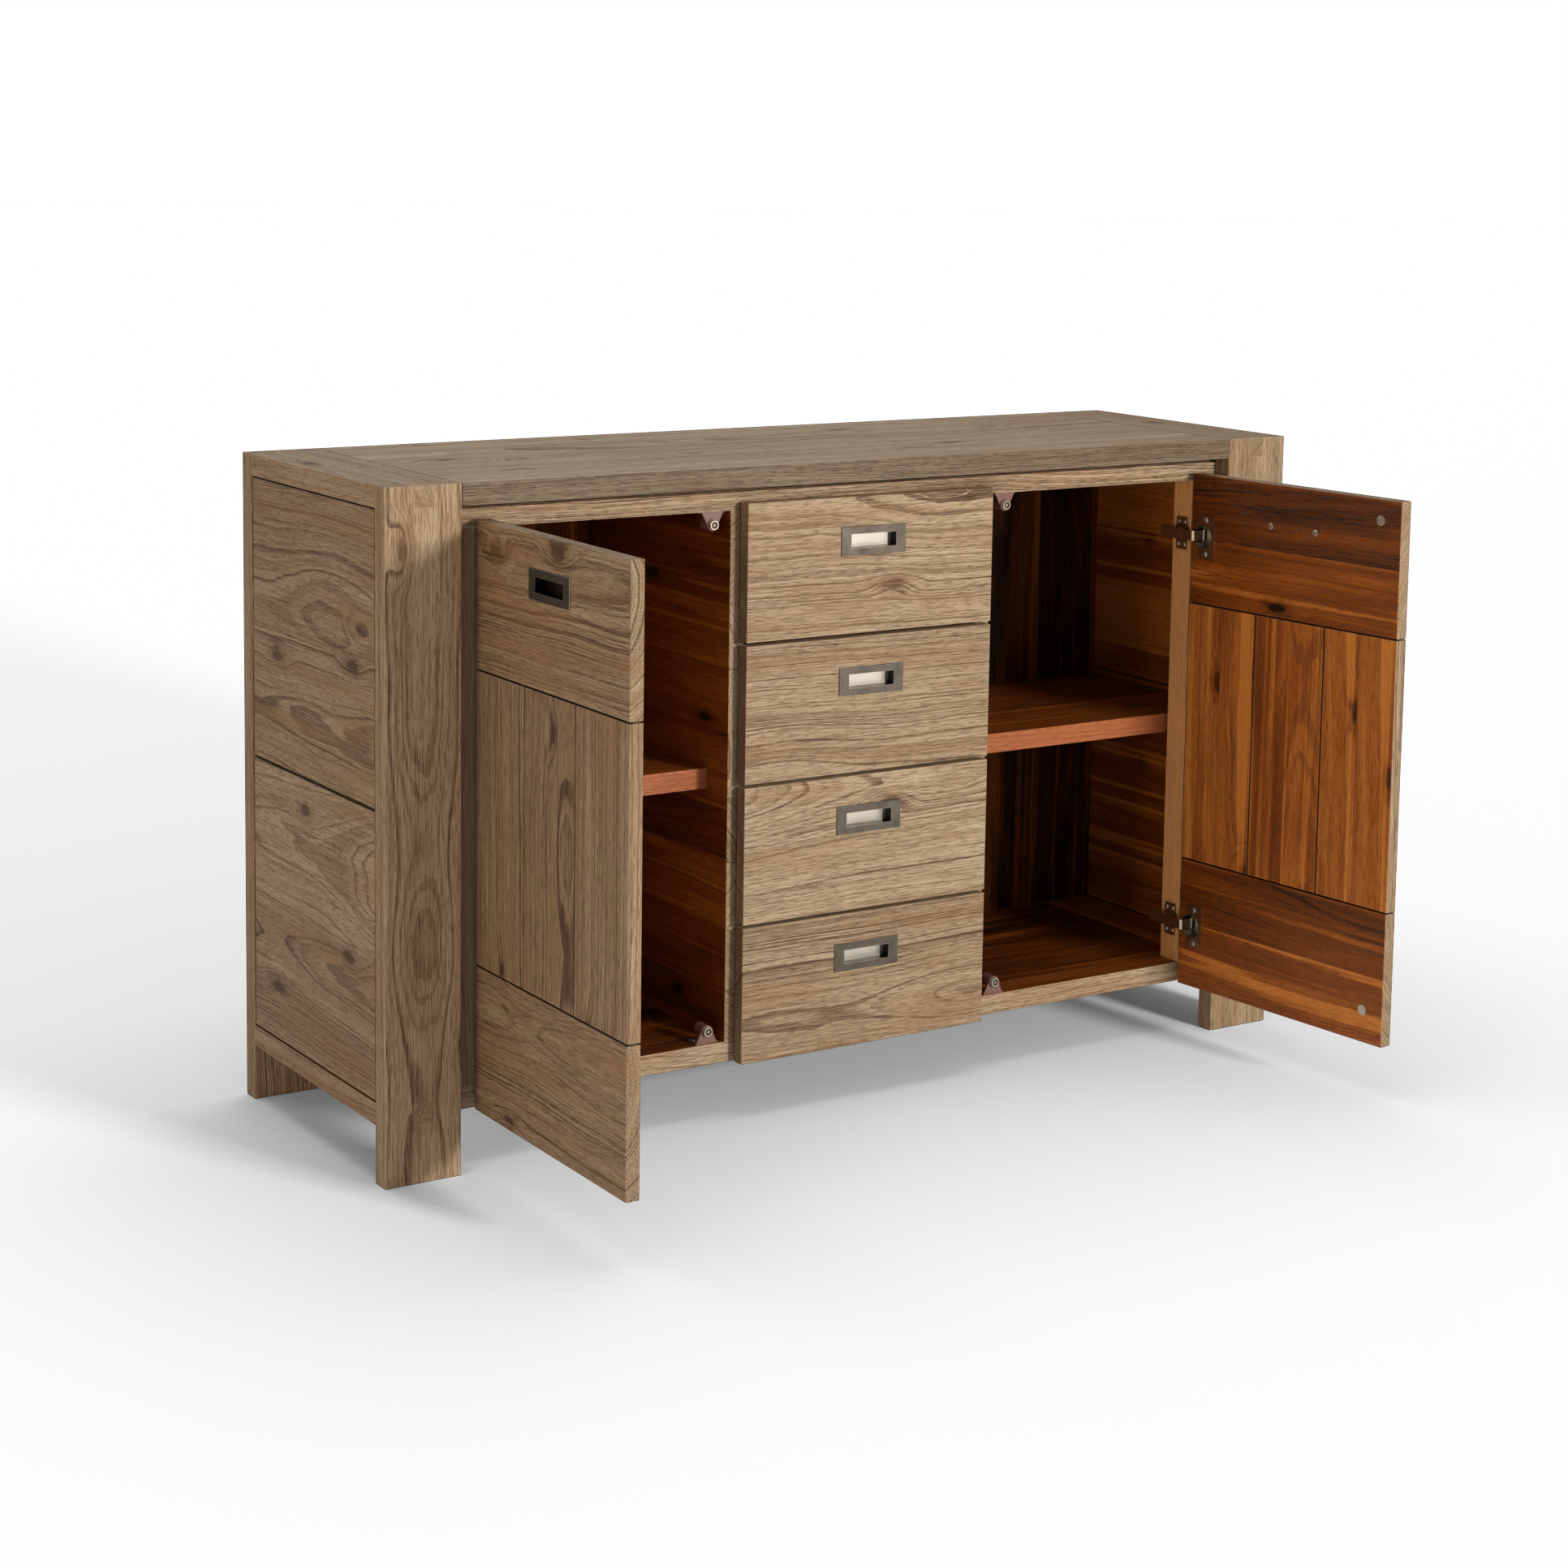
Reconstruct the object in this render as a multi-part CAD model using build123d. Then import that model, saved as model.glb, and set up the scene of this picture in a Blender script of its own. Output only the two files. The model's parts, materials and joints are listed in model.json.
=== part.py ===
"""Sideboard buffet in brushed acacia: two cupboards with doors and a bank of four drawers.

Millimetres, +Z up, front towards -Y.  The origin is on the floor, midway between the
four legs.  At rest both doors stand open and the drawers are shut.
"""
from build123d import *
import os

# ------------------------------------------------------------------ driving dimensions
WIDTH = 1395.0
DEPTH = 423.0
HEIGHT = 850.0
STOCK = 27.0                # thickness of the posts, rails, shelves and top
POST_WIDTH = 101.0          # width of the flat posts and of the boards that join them
UNDERSIDE = 73.0            # floor to the underside of the carcass
EASE = 1.2                  # brushed, softened edge of a solid board
HAIRLINE = 0.5              # glue line between boards planed flush

FRONT_THICKNESS = 18.0      # doors and drawer fronts
FRONT_SETBACK = 5.0         # front of the cabinet to the doors and drawer fronts
DOOR_WIDTH = 378.0
FRONTS_HEIGHT = 730.0       # height of a door, and of the four drawer fronts together
DRAWER_FRONT_WIDTH = 384.0
DRAWER_COUNT = 4
DRAWER_GAP = 4.5
DOOR_GAP = 3.5              # between a door and the drawer fronts
DOOR_END_BOARD = 182.0      # top and bottom boards of a door
DOOR_PLANKS = 3
V_GROOVE = 1.8              # chamfer that makes a V groove between two boards
GROOVE_SLOT = 0.8           # half the width of the open joint at the bottom of the V
GROOVE_DEPTH = 5.0

LEFT_OPEN = 90.5            # how far the left door stands open at rest, degrees
RIGHT_OPEN = 95.0           # the right door stands open against its hinge stops

# ------------------------------------------------------------------ derived places
SIDE_X = WIDTH / 2
FRONT_Y = -DEPTH / 2
BACK_Y = DEPTH / 2
POST_X = SIDE_X - POST_WIDTH            # inner edge of the posts
FRAME_Y = FRONT_Y + STOCK               # face of the set-back front frame
REAR_POST_Y = BACK_Y - STOCK
FLOOR_Z = UNDERSIDE + STOCK             # top of the cupboard floor
SLAB_Z = HEIGHT - STOCK                 # underside of the top

# side panels: two horizontal boards in the ring of posts and rails
PANEL_THICKNESS = 20.0
PANEL_GROOVE = 4.0                      # shadow groove round each board
PANEL_LIP = 5.0                         # depth of that groove
PANEL_REVEAL = 0.6                      # panel face behind the face of the posts
PANEL_SPLIT_Z = 459.0                   # joint between the lower and the upper board
LINING_X = SIDE_X - PANEL_THICKNESS

# front frame
RAIL_DEPTH = 40.0
RAIL_GROOVE = 7.5                       # shadow groove between the top and its rail
RAIL_GROOVE_DEPTH = 8.0
TOP_RAIL_Z = 792.0                      # underside of the top rail
STILE_WIDTH = 42.0                      # part of the stile that shows beside the post
STILE_LAP = 20.0                        # part of the stile glued behind the post
STILE_DEPTH = 38.0
STILE_X = POST_X - STILE_WIDTH
DIVIDER_X = 204.5                       # outer face of a divider
DIVIDER_THICKNESS = 22.0
BACK_THICKNESS = 9.0
BACK_BOARDS = 12
BACK_JOINT = 1.5                        # chamfer on both sides of a joint in the back
REAR_RAIL_HEIGHT = 50.0
REAR_RAIL_THICKNESS = 20.0
FLOOR_THICKNESS = 18.0
LINING_Y = REAR_POST_Y - BACK_THICKNESS  # inner face of the back

# top
TOP_PLANKS = 4
TENON_WIDTH = 27.0
TENON_CENTRE = 51.5                     # from the outer side of the cabinet

# shelves
SHELF_TOP_Z = 451.0
SHELF_FRONT_Y = FRONT_Y + 78.0
SHELF_SLACK = 0.5
PEG_RADIUS = 2.5
PEG_LENGTH = 9.0
PEG_INSET = 35.0

# doors and drawer fronts
FACE_Y = FRONT_Y + FRONT_SETBACK
REAR_FACE_Y = FACE_Y + FRONT_THICKNESS
FRONTS_TOP_Z = UNDERSIDE + FRONTS_HEIGHT
DOOR_INNER_X = DRAWER_FRONT_WIDTH / 2 + DOOR_GAP
DOOR_HINGE_X = DOOR_INNER_X + DOOR_WIDTH

# flush pulls
PULL_WIDTH = 101.0
PULL_HEIGHT = 37.5
PULL_PLATE = 1.6
PULL_BEVEL = 0.7
PULL_MOUTH_WIDTH = 70.5
PULL_MOUTH_HEIGHT = 18.5
PULL_CUP_DEPTH = 14.0
PULL_WALL = 0.8
PULL_DROP = 58.0                        # top of the door or drawer front to the pull's centre
PULL_SCREW_SPREAD = 40.5
POCKET_SLACK = 0.2

# cup hinges: one pin per hinge, low inside the cup
HINGE_FROM_END = 87.0                   # centre of a hinge to the end of the door
PIN_FROM_EDGE = 10.5                    # pin to the hinge edge of the door
PIN_FROM_FACE = 4.5                     # pin to the outer face of the door
PIN_RADIUS = 1.25
PIN_RUNNING_GAP = 0.05
PIN_END_GAP = 0.3
PIN_HALF = 10.2
KNUCKLE_RADIUS = 2.2
KNUCKLE_HALF = 7.0
CUP_FROM_EDGE = 23.0
CUP_RADIUS = 17.5
CUP_WALL = 0.8
CUP_FLOOR = 0.5
CUP_INSIDE_DEPTH = 16.0
FLANGE_HEIGHT = 62.0
FLANGE_FROM_EDGE = (14.0, 43.0)         # near and far side of the flange to the door's edge
FLANGE_CORNER = 2.5
FLANGE_THICKNESS = 1.5
FLANGE_SCREW_SPREAD = 24.0
RIM_LAP = 0.7                           # rim of the cup beyond its bore
EAR_NEAR = 7.3                          # middle of the hinge to the ears that hold the pin
EAR_THICKNESS = 6.0
EAR_HALF_WIDTH = 2.9
ARM_THICKNESS = 2.2
ARM_CRANK_HALF = 7.0
ARM_REACH = 19.1                        # pin to the part of the arm that passes the door's edge
ARM_CORNER = (1.5, 2.5)                 # bevelled corner of the crank
ARM_CRANK_DEPTH = 22.0                  # pin to the back of the crank
ARM_BODY_HALF = 8.0
ARM_BODY_THICKNESS = 9.2
ARM_BODY_LENGTH = 49.0
ARM_BODY_EASE = 1.8
PLATE_THICKNESS = 2.5
PLATE_HALF_HEIGHT = 23.0
PLATE_FRONT = 4.0                       # front of the stile to the hinge plate
PLATE_WIDTH = 27.0
PLATE_WING_INSET = 3.0
PLATE_SEAT_MARGIN = 2.0
PLATE_SCREW_RISE = 15.6                 # middle of the plate to its screws
PLATE_SCREW_DEPTHS = (7.6, 20.3)        # front of the plate to its two rows of screws

# magnetic catches
CATCH_X = 229.5
CATCH_DROP = 17.0                       # magnet's centre to the rail or floor
CATCH_PLATE_HALF = 16.0
CATCH_PLATE_THICKNESS = 2.5
CATCH_PLATE_DEPTH = 22.0
CATCH_WEB = 4.0
CATCH_SETBACK = 3.0                     # front of the frame to the catch's foot
CATCH_SCREW_SPREAD = 11.0
CATCH_SCREW_DEPTH = 13.0                # front of the foot to its screws
CATCH_BARREL_RADIUS = 7.8
CATCH_BARREL_LENGTH = 20.0
BARREL_LEAD = 1.5                       # barrel in front of the foot
MAGNET_RADIUS = 6.4
MAGNET_EDGE = 0.6
MAGNET_DIMPLE_RADIUS = 3.6
MAGNET_DIMPLE_DEPTH = 0.5
MAGNET_LENGTH = 24.0
MAGNET_GAP = 0.5                        # magnet to the strike of a shut door
STRIKE_RADIUS = 7.0
STRIKE_THICKNESS = 1.2

# drawer boxes and their runners
BOX_GAP = 12.7                          # divider to the drawer side
BOX_WALL = 12.0
BOX_LIFT = 31.0                         # bottom of the front to the bottom of the box
BOX_HEIGHT = 126.0
BOX_DEPTH = 340.0
BOX_BOTTOM = 6.0
BOX_BOTTOM_LIFT = 8.0
RUNNER_HEIGHT = 35.0
RUNNER_WALL = 1.2
RUNNER_DEPTH = 9.0
RUNNER_LENGTH = 330.0
RUNNER_SETBACK = 2.0                    # front of the frame to the runners
SLIDE_HEIGHT = 16.0
SLIDE_EASE = 1.0
RUNNER_SLACK = 0.4                      # slide to the channel that it runs in
RAIL_TO_BOX = 1.4                       # channel to the drawer side

# screws
WOOD_SCREW_RADIUS = 1.6
WOOD_SCREW_HEAD = 3.6
HEAD_HEIGHT = 1.4
PULL_SCREW_RADIUS = 2.0
PULL_SCREW_HEAD = 4.6
SCREW_LENGTH = 12.0

LEFT = -1
RIGHT = 1
SIDE_NAMES = {LEFT: "left", RIGHT: "right"}


# ------------------------------------------------------------------ helpers
def block(x, y, z, ease=0.0):
    """A board between three (from, to) pairs, with its edges softened by ease."""
    (x0, x1), (y0, y1), (z0, z1) = sorted(x), sorted(y), sorted(z)
    middle = Pos((x0 + x1) / 2, (y0 + y1) / 2, (z0 + z1) / 2)
    board = middle * Box(x1 - x0, y1 - y0, z1 - z0)
    return fillet(board.edges(), ease) if ease else board


def rod(start, direction, radius, length):
    """A round bar from start along direction."""
    plane = Plane(origin=start, z_dir=direction)
    return plane * Cylinder(radius, length, align=(Align.CENTER, Align.CENTER, Align.MIN))


def screw(start, direction, shank, head, length=SCREW_LENGTH):
    """A pan-head screw whose head stands on start and whose shank runs along direction."""
    way = Vector(*direction)
    body = rod(start, direction, shank, length)
    cap = rod(Vector(*start) - way * HEAD_HEIGHT, direction, head, HEAD_HEIGHT)
    cap = chamfer(cap.faces().sort_by(Axis(start, direction))[0].edges(), HEAD_HEIGHT * 0.4)
    return body + cap


def drilled(board, screws):
    """The board with a hole for each screw shank that enters it."""
    for item in screws:
        board = board - item
    return board


def flipped(shape, side):
    """A shape made for the right-hand side, mirrored when the side is the left."""
    return mirror(shape, about=Plane.YZ) if side == LEFT else shape


def save(name, *pieces):
    """One STEP file for a node, with each piece as a solid of its own."""
    solids = [solid for piece in pieces for solid in piece.solids()]
    shape = solids[0] if len(solids) == 1 else Compound(children=solids)
    export_step(shape, os.path.join("parts", name + ".step"))


# ------------------------------------------------------------------ side rings
def tenon(side, z):
    """Through tenons of a ring rail, out to the front and back faces of the posts."""
    centre = SIDE_X - TENON_CENTRE
    span = (side * (centre - TENON_WIDTH / 2), side * (centre + TENON_WIDTH / 2))
    return block(span, (FRONT_Y, BACK_Y), z)


def top_end_board(side):
    """Board across the end of the top, tenoned through both posts."""
    board = block((side * POST_X, side * SIDE_X), (FRAME_Y, REAR_POST_Y), (SLAB_Z, HEIGHT))
    return board + tenon(side, (SLAB_Z, HEIGHT))


def lower_side_rail(side):
    x = (side * POST_X, side * SIDE_X)
    rail = block(x, (FRAME_Y, REAR_POST_Y), (UNDERSIDE, FLOOR_Z))
    return rail + tenon(side, (UNDERSIDE, FLOOR_Z))


def post(side, y, rails):
    """A full-height flat post, cut for the rails that pass through it."""
    column = block((side * POST_X, side * SIDE_X), y, (0, HEIGHT))
    eased = [e for e in column.edges() if e.center().Z < HEIGHT - 1]
    column = fillet(eased, EASE)
    for rail in rails:
        column = column - rail
    return column.solids().sort_by(SortBy.VOLUME)[-1]


def side_panel(side, z):
    """One horizontal board of a side, with a shadow groove round its outer face."""
    y = (FRAME_Y, REAR_POST_Y)
    face_x = SIDE_X - PANEL_REVEAL
    core = block((side * LINING_X, side * (face_x - PANEL_LIP)), y, z)
    inset = PANEL_GROOVE / 2
    face = block((side * LINING_X, side * face_x), (y[0] + PANEL_GROOVE, y[1] - PANEL_GROOVE),
                 (min(z) + inset, max(z) - inset))
    outer = face.faces().sort_by(Axis.X)[-1 if side == RIGHT else 0]
    return core + fillet(outer.edges(), EASE)


def side_ring(side):
    name = SIDE_NAMES[side]
    end_board = top_end_board(side)
    rail = lower_side_rail(side)
    save("top_end_board_" + name, end_board)
    save("lower_side_rail_" + name, rail)
    save("front_post_" + name, post(side, (FRONT_Y, FRAME_Y), (end_board, rail)))
    save("rear_post_" + name, post(side, (REAR_POST_Y, BACK_Y), (end_board, rail)))
    lower = side_panel(side, (FLOOR_Z, PANEL_SPLIT_Z))
    upper = side_panel(side, (PANEL_SPLIT_Z, SLAB_Z))
    save("side_panel_" + name, lower, upper)


# ------------------------------------------------------------------ top and carcass
def top_planks():
    """Planks of the top, glued edge to edge between the end boards."""
    width = DEPTH / TOP_PLANKS
    planks = []
    for i in range(TOP_PLANKS):
        y = (FRONT_Y + i * width, FRONT_Y + (i + 1) * width)
        plank = block((-POST_X, POST_X), y, (SLAB_Z, HEIGHT))
        top_face = plank.faces().sort_by(Axis.Z)[-1]
        planks.append(chamfer(top_face.edges(), HAIRLINE))
    return planks


def front_rail_top(screws):
    """Rail under the top, with the shadow groove along its upper front edge."""
    rail = block((-LINING_X, LINING_X), (FRAME_Y, FRAME_Y + RAIL_DEPTH), (TOP_RAIL_Z, SLAB_Z))
    groove = block((-POST_X, POST_X), (FRAME_Y, FRAME_Y + RAIL_GROOVE_DEPTH),
                   (SLAB_Z - RAIL_GROOVE, SLAB_Z))
    return drilled(rail - groove, screws)


def front_rail_bottom(screws):
    rail = block((-POST_X, POST_X), (FRAME_Y, FRAME_Y + RAIL_DEPTH), (UNDERSIDE, FLOOR_Z))
    lower_front = rail.edges().filter_by(Axis.X).sort_by(Axis.Z)[:2]
    return drilled(fillet(lower_front, EASE), screws)


def stile(side, screws):
    """Upright beside a post that carries the door's hinges."""
    x = (side * STILE_X, side * (POST_X + STILE_LAP))
    upright = block(x, (FRAME_Y, FRAME_Y + STILE_DEPTH), (FLOOR_Z, TOP_RAIL_Z))
    corner = upright.edges().filter_by(Axis.Z).sort_by(Axis.Y)[:2]
    corner = corner.sort_by(Axis.X)[0 if side == RIGHT else -1]
    return drilled(fillet(corner, EASE), screws)


def divider(side, rail):
    x = (side * DIVIDER_X, side * (DIVIDER_X - DIVIDER_THICKNESS))
    wall = block(x, (FRAME_Y, LINING_Y), (FLOOR_Z, SLAB_Z))
    corners = wall.edges().filter_by(Axis.Z).sort_by(Axis.Y)[:2]
    wall = fillet(corners, EASE) - rail
    return wall.solids().sort_by(SortBy.VOLUME)[-1]


def floor_boards():
    y = (FRAME_Y + RAIL_DEPTH, REAR_POST_Y)
    return block((-POST_X, POST_X), y, (FLOOR_Z - FLOOR_THICKNESS, FLOOR_Z))


def back_boards():
    """Vertical boards that close the back, with a small V between neighbours."""
    width = 2 * LINING_X / BACK_BOARDS
    boards = []
    for i in range(BACK_BOARDS):
        x = (-LINING_X + i * width, -LINING_X + (i + 1) * width)
        board = block(x, (LINING_Y, REAR_POST_Y), (FLOOR_Z, SLAB_Z))
        boards.append(chamfer(board.edges().filter_by(Axis.Z), BACK_JOINT))
    return boards


def rear_rails():
    """Rails behind the back boards, between the rear posts."""
    y = (REAR_POST_Y, REAR_POST_Y + REAR_RAIL_THICKNESS)
    upper = block((-POST_X, POST_X), y, (SLAB_Z - REAR_RAIL_HEIGHT, SLAB_Z))
    lower = block((-POST_X, POST_X), y, (UNDERSIDE, UNDERSIDE + REAR_RAIL_HEIGHT))
    return upper, lower


def shelf(side):
    x = (side * (DIVIDER_X + SHELF_SLACK), side * (LINING_X - SHELF_SLACK))
    board = block(x, (SHELF_FRONT_Y, LINING_Y - SHELF_SLACK), (SHELF_TOP_Z - STOCK, SHELF_TOP_Z))
    front = board.faces().sort_by(Axis.Y)[0]
    return fillet(front.edges().filter_by(Axis.X), EASE)


def shelf_pegs():
    """Round pegs under both ends of each shelf."""
    pegs = []
    z = SHELF_TOP_Z - STOCK - PEG_RADIUS
    for side in (LEFT, RIGHT):
        for y in (SHELF_FRONT_Y + PEG_INSET, LINING_Y - PEG_INSET):
            pegs.append(rod((side * DIVIDER_X, y, z), (side, 0, 0), PEG_RADIUS, PEG_LENGTH))
            pegs.append(rod((side * LINING_X, y, z), (-side, 0, 0), PEG_RADIUS, PEG_LENGTH))
    return pegs


# ------------------------------------------------------------------ hinges (made for the right)
PIN_X = DOOR_HINGE_X - PIN_FROM_EDGE
PIN_Y = FACE_Y + PIN_FROM_FACE
CUP_X = DOOR_HINGE_X - CUP_FROM_EDGE
HINGE_LEVELS = (UNDERSIDE + HINGE_FROM_END, FRONTS_TOP_Z - HINGE_FROM_END)


def hinge_plate_screws(z):
    """Four screws through a hinge plate into the stile."""
    screws = []
    for dz in (-PLATE_SCREW_RISE, PLATE_SCREW_RISE):
        for dy in PLATE_SCREW_DEPTHS:
            start = (STILE_X - PLATE_THICKNESS, FRAME_Y + PLATE_FRONT + dy, z + dz)
            screws.append(screw(start, (1, 0, 0), WOOD_SCREW_RADIUS, WOOD_SCREW_HEAD))
    return screws


def hinge_plate(z):
    """Plate on the stile: a cross of two wings, with a raised seat under the arm."""
    x = (STILE_X - PLATE_THICKNESS, STILE_X)
    y0 = FRAME_Y + PLATE_FRONT
    wings = block(x, (y0 + PLATE_WING_INSET, y0 + PLATE_WIDTH - PLATE_WING_INSET),
                  (z - PLATE_HALF_HEIGHT, z + PLATE_HALF_HEIGHT))
    seat_half = ARM_BODY_HALF + PLATE_SEAT_MARGIN
    seat = block(x, (y0, y0 + PLATE_WIDTH), (z - seat_half, z + seat_half))
    return drilled(wings + seat, hinge_plate_screws(z))


def hinge_arm(z):
    """Arm over the plate, cranked round the door's edge to the knuckle in the cup."""
    outer = STILE_X - PLATE_THICKNESS
    back_x = PIN_X - ARM_REACH
    path = Polyline((PIN_X, PIN_Y), (back_x + ARM_CORNER[0], PIN_Y), (back_x, PIN_Y + ARM_CORNER[1]),
                    (back_x, PIN_Y + ARM_CRANK_DEPTH))
    crank = extrude(Plane.XY * trace(path, ARM_THICKNESS), 2 * ARM_CRANK_HALF)
    crank = Pos(0, 0, z - ARM_CRANK_HALF) * crank
    knuckle = rod((PIN_X, PIN_Y, z - KNUCKLE_HALF), (0, 0, 1), KNUCKLE_RADIUS, 2 * KNUCKLE_HALF)
    body_y = FRAME_Y + PLATE_FRONT - 1
    body = block((outer - ARM_BODY_THICKNESS, outer), (body_y, body_y + ARM_BODY_LENGTH),
                 (z - ARM_BODY_HALF, z + ARM_BODY_HALF))
    body = fillet(body.edges().filter_by(Axis.Y).sort_by(Axis.X)[:2], ARM_BODY_EASE)
    return (crank + knuckle + body) - hinge_pin(z)


def hinge_pin(z):
    return rod((PIN_X, PIN_Y, z - PIN_HALF), (0, 0, 1), PIN_RADIUS, 2 * PIN_HALF)


def cup_screws(z):
    """Two screws through a cup's flange into the door."""
    x = DOOR_HINGE_X - sum(FLANGE_FROM_EDGE) / 2
    y = REAR_FACE_Y + FLANGE_THICKNESS
    return [screw((x, y, z + dz), (0, -1, 0), WOOD_SCREW_RADIUS, WOOD_SCREW_HEAD)
            for dz in (-FLANGE_SCREW_SPREAD, FLANGE_SCREW_SPREAD)]


def cup_bore(z):
    """The round recess that a hinge cup fills in the door."""
    depth = CUP_INSIDE_DEPTH + CUP_FLOOR
    return rod((CUP_X, REAR_FACE_Y, z), (0, -1, 0), CUP_RADIUS, depth)


def hinge_cup(z):
    """Pressed cup with its screw flange and the two ears that hold the pin."""
    inside = rod((CUP_X, REAR_FACE_Y + FLANGE_THICKNESS, z), (0, -1, 0), CUP_RADIUS - CUP_WALL,
                 CUP_INSIDE_DEPTH + FLANGE_THICKNESS)
    flange = block([DOOR_HINGE_X - distance for distance in FLANGE_FROM_EDGE],
                   (REAR_FACE_Y, REAR_FACE_Y + FLANGE_THICKNESS),
                   (z - FLANGE_HEIGHT / 2, z + FLANGE_HEIGHT / 2))
    flange = fillet(flange.edges().filter_by(Axis.Y), FLANGE_CORNER)
    rim = rod((CUP_X, REAR_FACE_Y, z), (0, 1, 0), CUP_RADIUS + RIM_LAP, FLANGE_THICKNESS)
    bottom = REAR_FACE_Y - CUP_INSIDE_DEPTH - CUP_FLOOR
    ears = [block((PIN_X - EAR_HALF_WIDTH, PIN_X + EAR_HALF_WIDTH), (bottom, PIN_Y + EAR_HALF_WIDTH),
                  (z + way * EAR_NEAR, z + way * (EAR_NEAR + EAR_THICKNESS))) for way in (-1, 1)]
    core = cup_bore(z)
    shell = (core + flange + rim) - inside
    for ear in ears:
        shell = shell + (ear & core)
    hole_half = PIN_HALF + PIN_END_GAP
    hole = rod((PIN_X, PIN_Y, z - hole_half), (0, 0, 1), PIN_RADIUS + PIN_RUNNING_GAP, 2 * hole_half)
    return drilled(shell - hole, cup_screws(z))


# ------------------------------------------------------------------ catches (made for the right)
CATCH_LEVELS = ((FLOOR_Z, 1), (TOP_RAIL_Z, -1))     # surface each catch is fixed to, and its way
MAGNET_Y = REAR_FACE_Y + STRIKE_THICKNESS + MAGNET_GAP


def catch_screws(z, way):
    y = FRAME_Y + CATCH_SETBACK + CATCH_SCREW_DEPTH
    start_z = z + way * CATCH_PLATE_THICKNESS
    return [screw((CATCH_X + dx, y, start_z), (0, 0, -way), WOOD_SCREW_RADIUS, WOOD_SCREW_HEAD)
            for dx in (-CATCH_SCREW_SPREAD, CATCH_SCREW_SPREAD)]


def catch_magnet(z, way):
    centre = z + way * CATCH_DROP
    can = rod((CATCH_X, MAGNET_Y, centre), (0, 1, 0), MAGNET_RADIUS, MAGNET_LENGTH)
    rim = can.faces().sort_by(Axis.Y)[0]
    can = chamfer(rim.edges(), MAGNET_EDGE)
    dimple = rod((CATCH_X, MAGNET_Y, centre), (0, 1, 0), MAGNET_DIMPLE_RADIUS, MAGNET_DIMPLE_DEPTH)
    return can - dimple


def catch_bracket(z, way):
    """Moulded bracket: a foot on the rail or floor and a tapered web to the barrel."""
    centre = z + way * CATCH_DROP
    y0 = FRAME_Y + CATCH_SETBACK
    foot = block((CATCH_X - CATCH_PLATE_HALF, CATCH_X + CATCH_PLATE_HALF), (y0, y0 + CATCH_PLATE_DEPTH),
                 (z, z + way * CATCH_PLATE_THICKNESS))
    slope = Polyline((CATCH_X - CATCH_PLATE_HALF, z), (CATCH_X + CATCH_PLATE_HALF, z),
                     (CATCH_X + CATCH_BARREL_RADIUS, centre), (CATCH_X - CATCH_BARREL_RADIUS, centre),
                     close=True)
    web = extrude(Plane.XZ * make_face(slope), -CATCH_WEB)
    web = Pos(0, y0, 0) * web
    barrel = rod((CATCH_X, y0 - BARREL_LEAD, centre), (0, 1, 0),
                 CATCH_BARREL_RADIUS, CATCH_BARREL_LENGTH)
    bore = rod((CATCH_X, MAGNET_Y, centre), (0, 1, 0), MAGNET_RADIUS, MAGNET_LENGTH)
    return drilled((foot + web + barrel) - bore, catch_screws(z, way))


# ------------------------------------------------------------------ flush pulls
def pull_pocket(x, z):
    """The slot in a board that a pull's cup drops into."""
    width = PULL_MOUTH_WIDTH + 2 * (PULL_WALL + POCKET_SLACK)
    height = PULL_MOUTH_HEIGHT + 2 * (PULL_WALL + POCKET_SLACK)
    return block((x - width / 2, x + width / 2), (FACE_Y, FACE_Y + PULL_CUP_DEPTH + POCKET_SLACK),
                 (z - height / 2, z + height / 2))


def pull(x, z):
    """Frame plate on the board's face, and the box-shaped finger cup behind it."""
    mouth = ((x - PULL_MOUTH_WIDTH / 2, x + PULL_MOUTH_WIDTH / 2),
             (z - PULL_MOUTH_HEIGHT / 2, z + PULL_MOUTH_HEIGHT / 2))
    plate = block((x - PULL_WIDTH / 2, x + PULL_WIDTH / 2), (FACE_Y - PULL_PLATE, FACE_Y),
                  (z - PULL_HEIGHT / 2, z + PULL_HEIGHT / 2))
    front = plate.faces().sort_by(Axis.Y)[0]
    plate = chamfer(front.edges(), PULL_BEVEL)
    plate = plate - block(mouth[0], (FACE_Y - PULL_PLATE, FACE_Y), mouth[1])
    wall = PULL_WALL
    outside = block((mouth[0][0] - wall, mouth[0][1] + wall), (FACE_Y, FACE_Y + PULL_CUP_DEPTH),
                    (mouth[1][0] - wall, mouth[1][1] + wall))
    inside = block(mouth[0], (FACE_Y, FACE_Y + PULL_CUP_DEPTH - wall), mouth[1])
    return plate, outside - inside


def pull_screws(x, z, rear_y):
    """Two screws from behind that hold a pull."""
    length = rear_y - FACE_Y
    return [screw((x + dx, rear_y, z), (0, -1, 0), PULL_SCREW_RADIUS, PULL_SCREW_HEAD, length)
            for dx in (-PULL_SCREW_SPREAD, PULL_SCREW_SPREAD)]


# ------------------------------------------------------------------ doors (made shut, on the right)
DOOR_CENTRE_X = (DOOR_INNER_X + DOOR_HINGE_X) / 2
DOOR_PULL_Z = FRONTS_TOP_Z - PULL_DROP


def joint_slots(x, z, seam):
    """The open joints along one side of a door board, in its front and its rear face."""
    if seam in ("left", "right"):
        edge = min(x) if seam == "left" else max(x)
        span = ((edge - GROOVE_SLOT, edge + GROOVE_SLOT), z)
    else:
        edge = min(z) if seam == "bottom" else max(z)
        span = (x, (edge - GROOVE_SLOT, edge + GROOVE_SLOT))
    front = block(span[0], (FACE_Y, FACE_Y + GROOVE_DEPTH), span[1])
    rear = block(span[0], (REAR_FACE_Y - GROOVE_DEPTH, REAR_FACE_Y), span[1])
    return front + rear


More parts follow.
